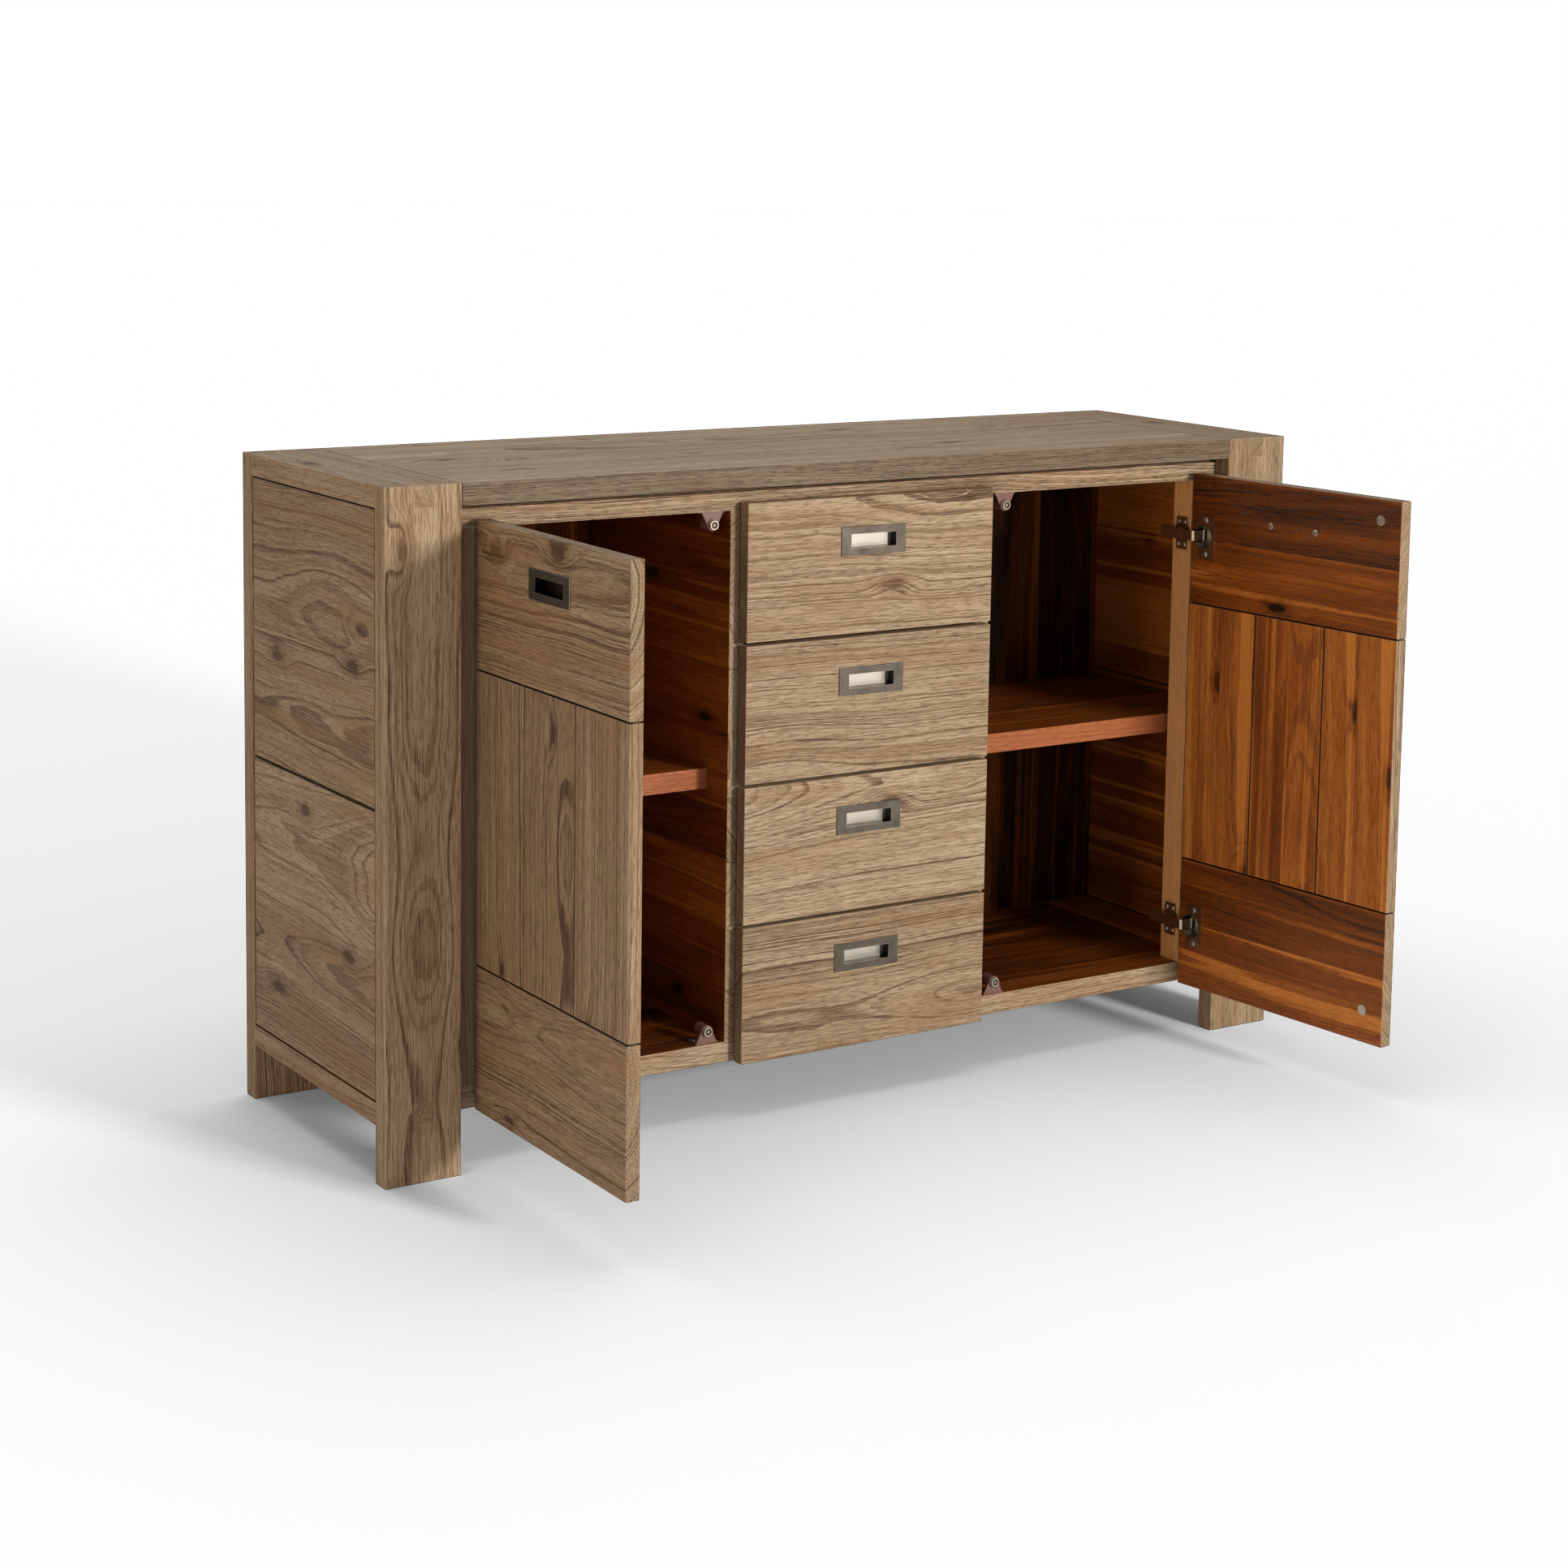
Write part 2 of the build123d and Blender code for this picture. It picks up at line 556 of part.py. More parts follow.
BOARD_SIDES = {"left": (Axis.X, 0), "right": (Axis.X, -1), "bottom": (Axis.Z, 0), "top": (Axis.Z, -1)}


def long_edges(board, side):
    """The edges along one side of a door board, at its front and its rear face."""
    axis, end = BOARD_SIDES[side]
    along = Axis.X if axis == Axis.Z else Axis.Z
    edges = board.faces().sort_by(axis)[end].edges().filter_by(along)
    return edges.sort_by(SortBy.LENGTH)[-2:]


def grooved(x, z, seams):
    """A door board: V grooves on the sides that meet a neighbour, soft edges elsewhere.

    seams names the sides with a neighbour: any of "left", "right", "top", "bottom".
    """
    board = block(x, (FACE_Y, REAR_FACE_Y), z)
    board = chamfer([edge for seam in seams for edge in long_edges(board, seam)], V_GROOVE)
    for seam in seams:
        board = board - joint_slots(x, z, seam)
    for side in BOARD_SIDES:
        if side not in seams:
            board = fillet(long_edges(board, side), EASE)
    return board


def strikes():
    """Steel strike discs that the catches hold, each with a screw in its middle."""
    discs = []
    screws = []
    for z, way in CATCH_LEVELS:
        centre = z + way * CATCH_DROP
        disc = rod((CATCH_X, REAR_FACE_Y, centre), (0, 1, 0), STRIKE_RADIUS, STRIKE_THICKNESS)
        pin = rod((CATCH_X, REAR_FACE_Y, centre), (0, -1, 0), WOOD_SCREW_RADIUS, SCREW_LENGTH)
        discs.append(disc + pin)
        screws.append(pin)
    return discs, screws


def door(side):
    """The nodes of one door, swung open to its place at rest."""
    name = "door_" + SIDE_NAMES[side] + "_"
    angle = LEFT_OPEN if side == LEFT else RIGHT_OPEN
    spin_axis = Axis((side * PIN_X, PIN_Y, 0), (0, 0, side))

    def placed(shape):
        return flipped(shape, side).rotate(spin_axis, angle)

    levels = (UNDERSIDE, UNDERSIDE + DOOR_END_BOARD, FRONTS_TOP_Z - DOOR_END_BOARD, FRONTS_TOP_Z)
    x = (DOOR_INNER_X, DOOR_HINGE_X)
    discs, disc_pins = strikes()
    holding = pull_screws(DOOR_CENTRE_X, DOOR_PULL_Z, REAR_FACE_Y)
    flange_screws = [item for z in HINGE_LEVELS for item in cup_screws(z)]
    bores = [cup_bore(z) for z in HINGE_LEVELS]
    cutters = disc_pins + holding + flange_screws + bores
    top_board = drilled(grooved(x, levels[2:4], ("bottom",)), cutters)
    top_board = top_board - pull_pocket(DOOR_CENTRE_X, DOOR_PULL_Z)
    bottom_board = drilled(grooved(x, levels[0:2], ("top",)), cutters)
    plank_width = DOOR_WIDTH / DOOR_PLANKS
    planks = []
    for i in range(DOOR_PLANKS):
        span = (DOOR_INNER_X + i * plank_width, DOOR_INNER_X + (i + 1) * plank_width)
        seams = ["top", "bottom"]
        if i > 0:
            seams.append("left")
        if i < DOOR_PLANKS - 1:
            seams.append("right")
        planks.append(grooved(span, levels[1:3], seams))
    save(name + "top_board", placed(top_board))
    save(name + "planks", *[placed(plank) for plank in planks])
    save(name + "bottom_board", placed(bottom_board))
    save(name + "hinge_cups", *[placed(hinge_cup(z)) for z in HINGE_LEVELS])
    save(name + "pull", *[placed(piece) for piece in pull(DOOR_CENTRE_X, DOOR_PULL_Z)])
    save(name + "fixings", *[placed(item) for item in discs + holding + flange_screws])


# ------------------------------------------------------------------ drawers
DRAWER_PITCH = (FRONTS_HEIGHT + DRAWER_GAP) / DRAWER_COUNT
DRAWER_FRONT_HEIGHT = DRAWER_PITCH - DRAWER_GAP
DRAWER_OPENING = DIVIDER_X - DIVIDER_THICKNESS      # half the width between the dividers
BOX_X = DRAWER_OPENING - BOX_GAP
RUNNER_Y = (FRAME_Y + RUNNER_SETBACK, FRAME_Y + RUNNER_SETBACK + RUNNER_LENGTH)


def drawer_bottom(number):
    """Height of the underside of a drawer front; drawer 1 is the top one."""
    return FRONTS_TOP_Z - number * DRAWER_PITCH + DRAWER_GAP


def runner_level(number):
    return drawer_bottom(number) + BOX_LIFT + BOX_HEIGHT / 2


def drawer(number):
    """Front, box, runner slides and pull of one drawer, shut."""
    name = "drawer_%d_" % number
    z = drawer_bottom(number)
    top = z + DRAWER_FRONT_HEIGHT
    pull_z = top - PULL_DROP
    inner_y = REAR_FACE_Y + BOX_WALL
    holding = pull_screws(0, pull_z, inner_y)
    half = DRAWER_FRONT_WIDTH / 2
    front = block((-half, half), (FACE_Y, REAR_FACE_Y), (z, top), EASE)
    front = drilled(front, holding) - pull_pocket(0, pull_z)
    low = z + BOX_LIFT
    high = low + BOX_HEIGHT
    end_y = REAR_FACE_Y + BOX_DEPTH
    inner_x = BOX_X - BOX_WALL
    walls = [
        drilled(block((-inner_x, inner_x), (REAR_FACE_Y, inner_y), (low, high)), holding),
        block((-BOX_X, -inner_x), (REAR_FACE_Y, end_y), (low, high)),
        block((inner_x, BOX_X), (REAR_FACE_Y, end_y), (low, high)),
        block((-inner_x, inner_x), (end_y - BOX_WALL, end_y), (low, high)),
        block((-inner_x, inner_x), (inner_y, end_y - BOX_WALL),
              (low + BOX_BOTTOM_LIFT, low + BOX_BOTTOM_LIFT + BOX_BOTTOM)),
    ]
    level = runner_level(number)
    slides = [block((side * BOX_X, side * (BOX_X + RUNNER_DEPTH)), RUNNER_Y,
                    (level - SLIDE_HEIGHT / 2, level + SLIDE_HEIGHT / 2), SLIDE_EASE)
              for side in (LEFT, RIGHT)]
    save(name + "front", front)
    save(name + "box", *walls)
    save(name + "slides", *slides)
    save(name + "pull", *pull(0, pull_z), *holding)


def drawer_rail(side, number):
    """Fixed channel on a divider that a drawer slide runs in."""
    level = runner_level(number)
    wall_x = DRAWER_OPENING
    web = block((side * (wall_x - RUNNER_WALL), side * wall_x), RUNNER_Y,
                (level - RUNNER_HEIGHT / 2, level + RUNNER_HEIGHT / 2))
    reach = (side * (wall_x - BOX_GAP + RAIL_TO_BOX), side * wall_x)
    inside = SLIDE_HEIGHT / 2 + RUNNER_SLACK
    outside = inside + RUNNER_WALL
    upper = block(reach, RUNNER_Y, (level + inside, level + outside))
    lower = block(reach, RUNNER_Y, (level - outside, level - inside))
    return web + upper + lower


# ------------------------------------------------------------------ write every node
def carcass():
    frame_screws = [item for z in HINGE_LEVELS for item in hinge_plate_screws(z)]
    foot_screws = [catch_screws(z, way) for z, way in CATCH_LEVELS]
    floor_screws = [flipped(item, side) for side in (LEFT, RIGHT) for item in foot_screws[0]]
    rail_screws = [flipped(item, side) for side in (LEFT, RIGHT) for item in foot_screws[1]]
    top_rail = front_rail_top(rail_screws)
    save("top_planks", *top_planks())
    save("front_rail_top", top_rail)
    save("front_rail_bottom", front_rail_bottom(floor_screws))
    save("floor_boards", floor_boards())
    save("back_boards", *back_boards())
    save("rear_rails", *rear_rails())
    save("shelf_pegs", *shelf_pegs())
    all_screws = list(floor_screws + rail_screws)
    plates = []
    arms = []
    pins = []
    brackets = []
    magnets = []
    for side in (LEFT, RIGHT):
        name = SIDE_NAMES[side]
        side_screws = [flipped(item, side) for item in frame_screws]
        all_screws += side_screws
        save("stile_" + name, stile(side, side_screws))
        save("divider_" + name, divider(side, top_rail))
        save("shelf_" + name, shelf(side))
        plates += [flipped(hinge_plate(z), side) for z in HINGE_LEVELS]
        arms += [flipped(hinge_arm(z), side) for z in HINGE_LEVELS]
        pins += [flipped(hinge_pin(z), side) for z in HINGE_LEVELS]
        brackets += [flipped(catch_bracket(z, way), side) for z, way in CATCH_LEVELS]
        magnets += [flipped(catch_magnet(z, way), side) for z, way in CATCH_LEVELS]
    save("hinge_plates", *plates)
    save("hinge_arms", *arms)
    save("hinge_pins", *pins)
    save("catch_brackets", *brackets)
    save("catch_magnets", *magnets)
    save("frame_screws", *all_screws)
    rails = [drawer_rail(side, n + 1) for side in (LEFT, RIGHT) for n in range(DRAWER_COUNT)]
    save("drawer_rails", *rails)


def main():
    os.makedirs("parts", exist_ok=True)
    side_ring(LEFT)
    side_ring(RIGHT)
    carcass()
    door(LEFT)
    door(RIGHT)
    for number in range(1, DRAWER_COUNT + 1):
        drawer(number)


main()
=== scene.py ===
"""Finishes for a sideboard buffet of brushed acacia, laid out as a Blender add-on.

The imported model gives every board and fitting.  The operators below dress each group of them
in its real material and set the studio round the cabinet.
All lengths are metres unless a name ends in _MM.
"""
import json
import math

import bmesh
import bpy
from bpy.props import FloatProperty, FloatVectorProperty, PointerProperty
from mathutils import Matrix, Vector


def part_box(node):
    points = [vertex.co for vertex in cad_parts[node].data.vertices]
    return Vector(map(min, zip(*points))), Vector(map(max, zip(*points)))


bl_info = {
    "name": "Acacia sideboard finishes",
    "version": (1, 0, 0),
    "blender": (4, 5, 0),
    "location": "3D View > Sidebar > Sideboard",
    "description": "Wood, metal and studio for a sideboard with doors and drawers",
    "category": "Object",
}

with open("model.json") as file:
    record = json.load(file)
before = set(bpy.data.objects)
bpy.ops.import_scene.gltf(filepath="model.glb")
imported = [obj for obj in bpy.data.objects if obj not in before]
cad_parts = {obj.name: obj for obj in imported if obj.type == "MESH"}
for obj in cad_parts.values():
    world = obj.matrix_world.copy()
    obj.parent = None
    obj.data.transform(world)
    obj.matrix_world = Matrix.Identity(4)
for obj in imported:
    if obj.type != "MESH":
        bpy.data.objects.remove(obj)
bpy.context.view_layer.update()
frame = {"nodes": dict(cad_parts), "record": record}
NODES = frame["nodes"]
RECORD = frame["record"]
MM = 0.001

MATH = "ShaderNodeMath"
VECTOR_MATH = "ShaderNodeVectorMath"
NOISE = "ShaderNodeTexNoise"
RANGE = "ShaderNodeMapRange"
MIX = "ShaderNodeMix"


# ------------------------------------------------------------------ small shared tools
def linear(code, alpha=None):
    """A hex sRGB colour as linear numbers, with an alpha where a socket wants one."""
    values = [int(code[i:i + 2], 16) / 255 for i in (1, 3, 5)]
    values = [v / 12.92 if v <= 0.04045 else ((v + 0.055) / 1.055) ** 2.4 for v in values]
    return tuple(values) if alpha is None else (*values, alpha)


def add(tree, kind, inputs=None, **settings):
    """Adds one node: settings are its properties, inputs its sockets, as values, sockets or nodes."""
    node = tree.nodes.new(kind)
    for key, value in settings.items():
        setattr(node, key, value)
    for key, value in (inputs or {}).items():
        if isinstance(value, bpy.types.Node):
            value = value.outputs[0]
        if isinstance(value, bpy.types.NodeSocket):
            tree.links.new(value, node.inputs[key])
        else:
            node.inputs[key].default_value = value
    return node


def blank_material(name):
    """A node material with nothing in it, replacing an older one of that name."""
    old = bpy.data.materials.get(name)
    if old:
        bpy.data.materials.remove(old)
    material = bpy.data.materials.new(name)
    material.use_nodes = True
    material.node_tree.nodes.clear()
    return material


def dress(node_name, material):
    """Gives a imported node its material."""
    slots = NODES[node_name].material_slots
    if not slots:
        NODES[node_name].data.materials.append(material)
    for slot in NODES[node_name].material_slots:
        slot.material = material


def door_turn(side):
    """Where a door's pin stands, and the angle it has turned from shut at rest."""
    joint = next(j for j in RECORD["behaviour"]["joints"] if j["child"] == "door_" + side)
    angle = math.radians(-joint["range_deg"][0]) * joint["axis"][2]
    return Vector(joint["pos_m"]), angle


# ------------------------------------------------------------------ acacia
# Growth rings, fibres and pores, in millimetres.  Fibres and pores are drawn a little coarser
# than life, because real ones are finer than a picture of a whole cabinet can show.
RING_MM = 3.3
FIBRE_MM = (150.0, 1.5)
PORE_MM = (16.0, 1.3)
SAP_MM = (1500.0, 16.0)
KNOT_CELL_MM = (205.0, 88.0)
PITH_DEPTH_MM = (45.0, 150.0)
DOOR_MIDDLE_MM = -197.5
MIDDLE_TONE = 0.42           # place of the usual colour between the palest and the darkest
WANDER = (                   # cells along and across in millimetres, and how far fibres stray in them
    (640.0, 140.0, 15.0),
    (170.0, 34.0, 4.2),
    (40.0, 7.0, 1.0),
)
KNOT_RARITY = 0.7            # share of the cells that hold no knot
KNOT_PUSH_MM = 8.0           # how far the rings part round a knot
TREE_LENGTH_MM = 7000.0      # boards start this far apart in their trees at most
PITH_ASIDE_MM = 360.0        # spread of the pith to either side
LEAN_MM = (900.0, 62.0)      # length over which the pith leans, and how far
BOARD_STEP = 13.0            # keeps one node's boards apart from the next node's
FACES_THAT_WAY = 0.6         # a face is turned some way when its normal agrees this much


def figure_group():
    """Node group: the figure of one sawn acacia board at a place inside it.

    Place is in millimetres: along the grain, across the face from the board's middle, and
    through its thickness.  Board is a whole number that picks the tree it came from.
    """
    old = bpy.data.node_groups.get("Acacia figure")
    if old:
        return old
    tree = bpy.data.node_groups.new("Acacia figure", "ShaderNodeTree")
    face = tree.interface
    face.new_socket("Place", in_out="INPUT", socket_type="NodeSocketVector")
    face.new_socket("Board", in_out="INPUT", socket_type="NodeSocketFloat")
    for name in ("Bands", "Late", "Fibre", "Pores", "Tone", "Sap", "Knot", "Luck"):
        face.new_socket(name, in_out="OUTPUT", socket_type="NodeSocketFloat")
    given = tree.nodes.new("NodeGroupInput")
    out = tree.nodes.new("NodeGroupOutput")

    # each board is cut from its own place in its own tree
    luck = add(tree, "ShaderNodeTexWhiteNoise", {"W": given.outputs["Board"]}, noise_dimensions="1D")
    slide = add(tree, VECTOR_MATH, {0: luck.outputs["Color"], 1: (TREE_LENGTH_MM, 0.0, 0.0)},
                operation="MULTIPLY")
    place = add(tree, VECTOR_MATH, {0: given.outputs["Place"], 1: slide}, operation="ADD")
    luck_parts = add(tree, "ShaderNodeSeparateXYZ", {0: luck.outputs["Color"]})

    # slow and fine wander of the fibres
    pushed = place
    for along, over, push in WANDER:
        cell = (1 / along, 1 / over, 1 / over)
        wander_at = add(tree, VECTOR_MATH, {0: place, 1: cell}, operation="MULTIPLY")
        wander = add(tree, NOISE, {"Vector": wander_at, "Scale": 1.0, "Detail": 1.0})
        centred = add(tree, VECTOR_MATH, {0: wander.outputs["Color"], 1: (0.5, 0.5, 0.5)},
                      operation="SUBTRACT")
        sideways = add(tree, VECTOR_MATH, {0: centred, 1: (0.0, push, push)}, operation="MULTIPLY")
        pushed = add(tree, VECTOR_MATH, {0: pushed, 1: sideways}, operation="ADD")

    # knots: a few cells hold one, and the rings part round it in the shape of an eye
    cell = (1 / KNOT_CELL_MM[0], 1 / KNOT_CELL_MM[1], 0.0)
    knot_at = add(tree, VECTOR_MATH, {0: pushed, 1: cell}, operation="MULTIPLY")
    cells = add(tree, "ShaderNodeTexVoronoi", {"Vector": knot_at, "Scale": 1.0, "Randomness": 0.9},
                voronoi_dimensions="2D")
    dice = add(tree, "ShaderNodeSeparateColor", {0: cells.outputs["Color"]})
    chosen = add(tree, MATH, {0: dice.outputs["Red"], 1: KNOT_RARITY}, operation="GREATER_THAN")
    near = add(tree, RANGE, {"Value": cells.outputs["Distance"], "From Min": 0.34, "From Max": 0.0},
               interpolation_type="SMOOTHERSTEP")
    swell = add(tree, MATH, {0: near, 1: chosen}, operation="MULTIPLY")
    ragged_at = add(tree, VECTOR_MATH, {0: place, 1: (1 / 14, 1 / 7, 1 / 7)}, operation="MULTIPLY")
    ragged = add(tree, NOISE, {"Vector": ragged_at, "Scale": 1.0, "Detail": 2.0})
    size = add(tree, MATH, {0: dice.outputs["Green"], 1: 0.04, 2: 0.03}, operation="MULTIPLY_ADD")
    size = add(tree, MATH, {0: ragged.outputs["Fac"], 1: 0.07, 2: size}, operation="MULTIPLY_ADD")
    core = add(tree, MATH, {0: cells.outputs["Distance"], 1: size}, operation="DIVIDE")
    halo = add(tree, RANGE, {"Value": core, "From Min": 2.2, "From Max": 0.8,
                             "To Max": 0.35}, interpolation_type="SMOOTHSTEP")
    heart = add(tree, RANGE, {"Value": core, "From Min": 0.95, "From Max": 0.55,
                              "To Max": 0.65}, interpolation_type="SMOOTHSTEP")
    dark_core = add(tree, MATH, {0: halo, 1: heart}, operation="ADD")
    knot = add(tree, MATH, {0: dark_core, 1: chosen}, operation="MULTIPLY")

    # distance from the tree's pith, which leans away along the board and so makes arches
    parts = add(tree, "ShaderNodeSeparateXYZ", {0: pushed})
    lean = add(tree, NOISE, {"W": parts.outputs["X"], "Scale": 1 / LEAN_MM[0]}, noise_dimensions="1D")
    depth = add(tree, MATH, {0: luck_parts.outputs["Z"], 1: PITH_DEPTH_MM[1], 2: PITH_DEPTH_MM[0]},
                operation="MULTIPLY_ADD")
    leaning = add(tree, MATH, {0: lean.outputs["Fac"], 1: LEAN_MM[1], 2: depth},
                  operation="MULTIPLY_ADD")
    beneath = add(tree, MATH, {0: parts.outputs["Z"], 1: leaning}, operation="ADD")
    aside = add(tree, MATH, {0: luck_parts.outputs["Y"], 1: PITH_ASIDE_MM, 2: -PITH_ASIDE_MM / 2},
                operation="MULTIPLY_ADD")
    across = add(tree, MATH, {0: parts.outputs["Y"], 1: aside}, operation="SUBTRACT")
    across_sq = add(tree, MATH, {0: across, 1: across}, operation="MULTIPLY")
    square = add(tree, MATH, {0: beneath, 1: beneath, 2: across_sq}, operation="MULTIPLY_ADD")
    radius = add(tree, MATH, {0: square}, operation="SQRT")
    swollen = add(tree, MATH, {0: swell, 1: KNOT_PUSH_MM, 2: radius}, operation="MULTIPLY_ADD")

    # growth rings of uneven width: early wood darkens slowly, and late wood ends in a crisp line
    ring_at = add(tree, MATH, {0: swollen, 1: RING_MM}, operation="DIVIDE")
    seeded = add(tree, MATH, {0: given.outputs["Board"], 1: 31.7, 2: ring_at}, operation="MULTIPLY_ADD")
    bands = add(tree, NOISE, {"W": seeded, "Scale": 0.34, "Detail": 4.0, "Roughness": 0.62},
                noise_dimensions="1D")
    uneven = add(tree, MATH, {0: bands.outputs["Fac"], 1: 3.2, 2: seeded}, operation="MULTIPLY_ADD")
    season = add(tree, MATH, {0: uneven}, operation="FRACT")
    year = add(tree, MATH, {0: uneven}, operation="FLOOR")
    harvest = add(tree, "ShaderNodeTexWhiteNoise", {"W": year}, noise_dimensions="1D")
    ripening = add(tree, RANGE, {"Value": season, "From Min": 0.35, "From Max": 0.98},
                   interpolation_type="SMOOTHSTEP")
    late = add(tree, MATH, {0: ripening, 1: harvest.outputs["Value"]}, operation="MULTIPLY")

    textures = {}
    for name, size, detail in (("Fibre", FIBRE_MM, 3.0), ("Pores", PORE_MM, 0.0),
                               ("Tone", (420.0, 42.0), 2.0), ("Sap", SAP_MM, 1.0)):
        cell = (1 / size[0], 1 / size[1], 1 / size[1])
        texture_at = add(tree, VECTOR_MATH, {0: pushed, 1: cell}, operation="MULTIPLY")
        noise = add(tree, NOISE, {"Vector": texture_at, "Scale": 1.0, "Detail": detail,
                                  "Roughness": 0.62})
        textures[name] = noise.outputs["Fac"]
    for name, low, high in (("Pores", 0.58, 0.7), ("Sap", 0.6, 0.68)):
        textures[name] = add(tree, RANGE, {"Value": textures[name], "From Min": low, "From Max": high},
                             interpolation_type="SMOOTHSTEP").outputs[0]
    # the brush breaks up the lines of late wood
    broken = add(tree, RANGE, {"Value": textures["Fibre"], "From Min": 0.3, "From Max": 0.6,
                               "To Min": 0.35, "To Max": 1.0})
    late = add(tree, MATH, {0: late, 1: broken}, operation="MULTIPLY")

    textures.update(Bands=bands.outputs["Fac"], Late=late.outputs[0], Knot=knot.outputs[0],
                    Luck=luck.outputs["Value"])
    for name, socket in textures.items():
        tree.links.new(socket, out.inputs[name])
    return tree


class Cut:
    """How a node's boards were cut and laid.

    grain and across are the axes along the fibres and across the boards' faces.  width is the
    breadth of one board in millimetres and first the place where the first begins, with
    inner_width for the strips of the lacquered side.  lacquer is the direction of the faces
    under warm lacquer, or with all_but the only washed ones.  shade darkens the washed faces
    and inner_shade the lacquered ones; on some nodes they paint shade or light, as said there.
    bright names a lighter face: clear sealer on the shelves' front edges, and painted light on
    the stiles' inner sides.  bright_in names the setting that holds its colour.
    seams are the open joints and grooves, as an axis and a place on it in millimetres, painted
    dark for the dirt in the joints and as painted shade in the grooves; seam_mm is half their width.
    """

    def __init__(self, grain, across, width, first, lacquer=(0, 0, 0), all_but=False,
                 inner_width=None, shade=0.0, inner_shade=0.0, door=None, glue=0.0, strength=1.0,
                 sap=0.3, bright=None, bright_in="sealed", seams=(), seam_mm=1.3, gloss=0.35):
        self.grain = grain
        self.across = across
        self.width = width
        self.first = first
        self.lacquer = lacquer
        self.all_but = all_but
        self.inner_width = inner_width or width
        self.shade = shade
        self.inner_shade = inner_shade
        self.door = door
        self.glue = glue
        self.strength = strength
        self.sap = sap
        self.bright = bright
        self.bright_in = bright_in
        self.seams = seams
        self.seam_mm = seam_mm
        self.gloss = gloss


def middle_of(node_name, cut, axis):
    """The middle of a board's thickness in millimetres, on a door with the door shut."""
    if cut.door:
        return DOOR_MIDDLE_MM
    low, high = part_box(node_name)
    i = "XYZ".index(axis)
    return (low[i] + high[i]) / 2 / MM


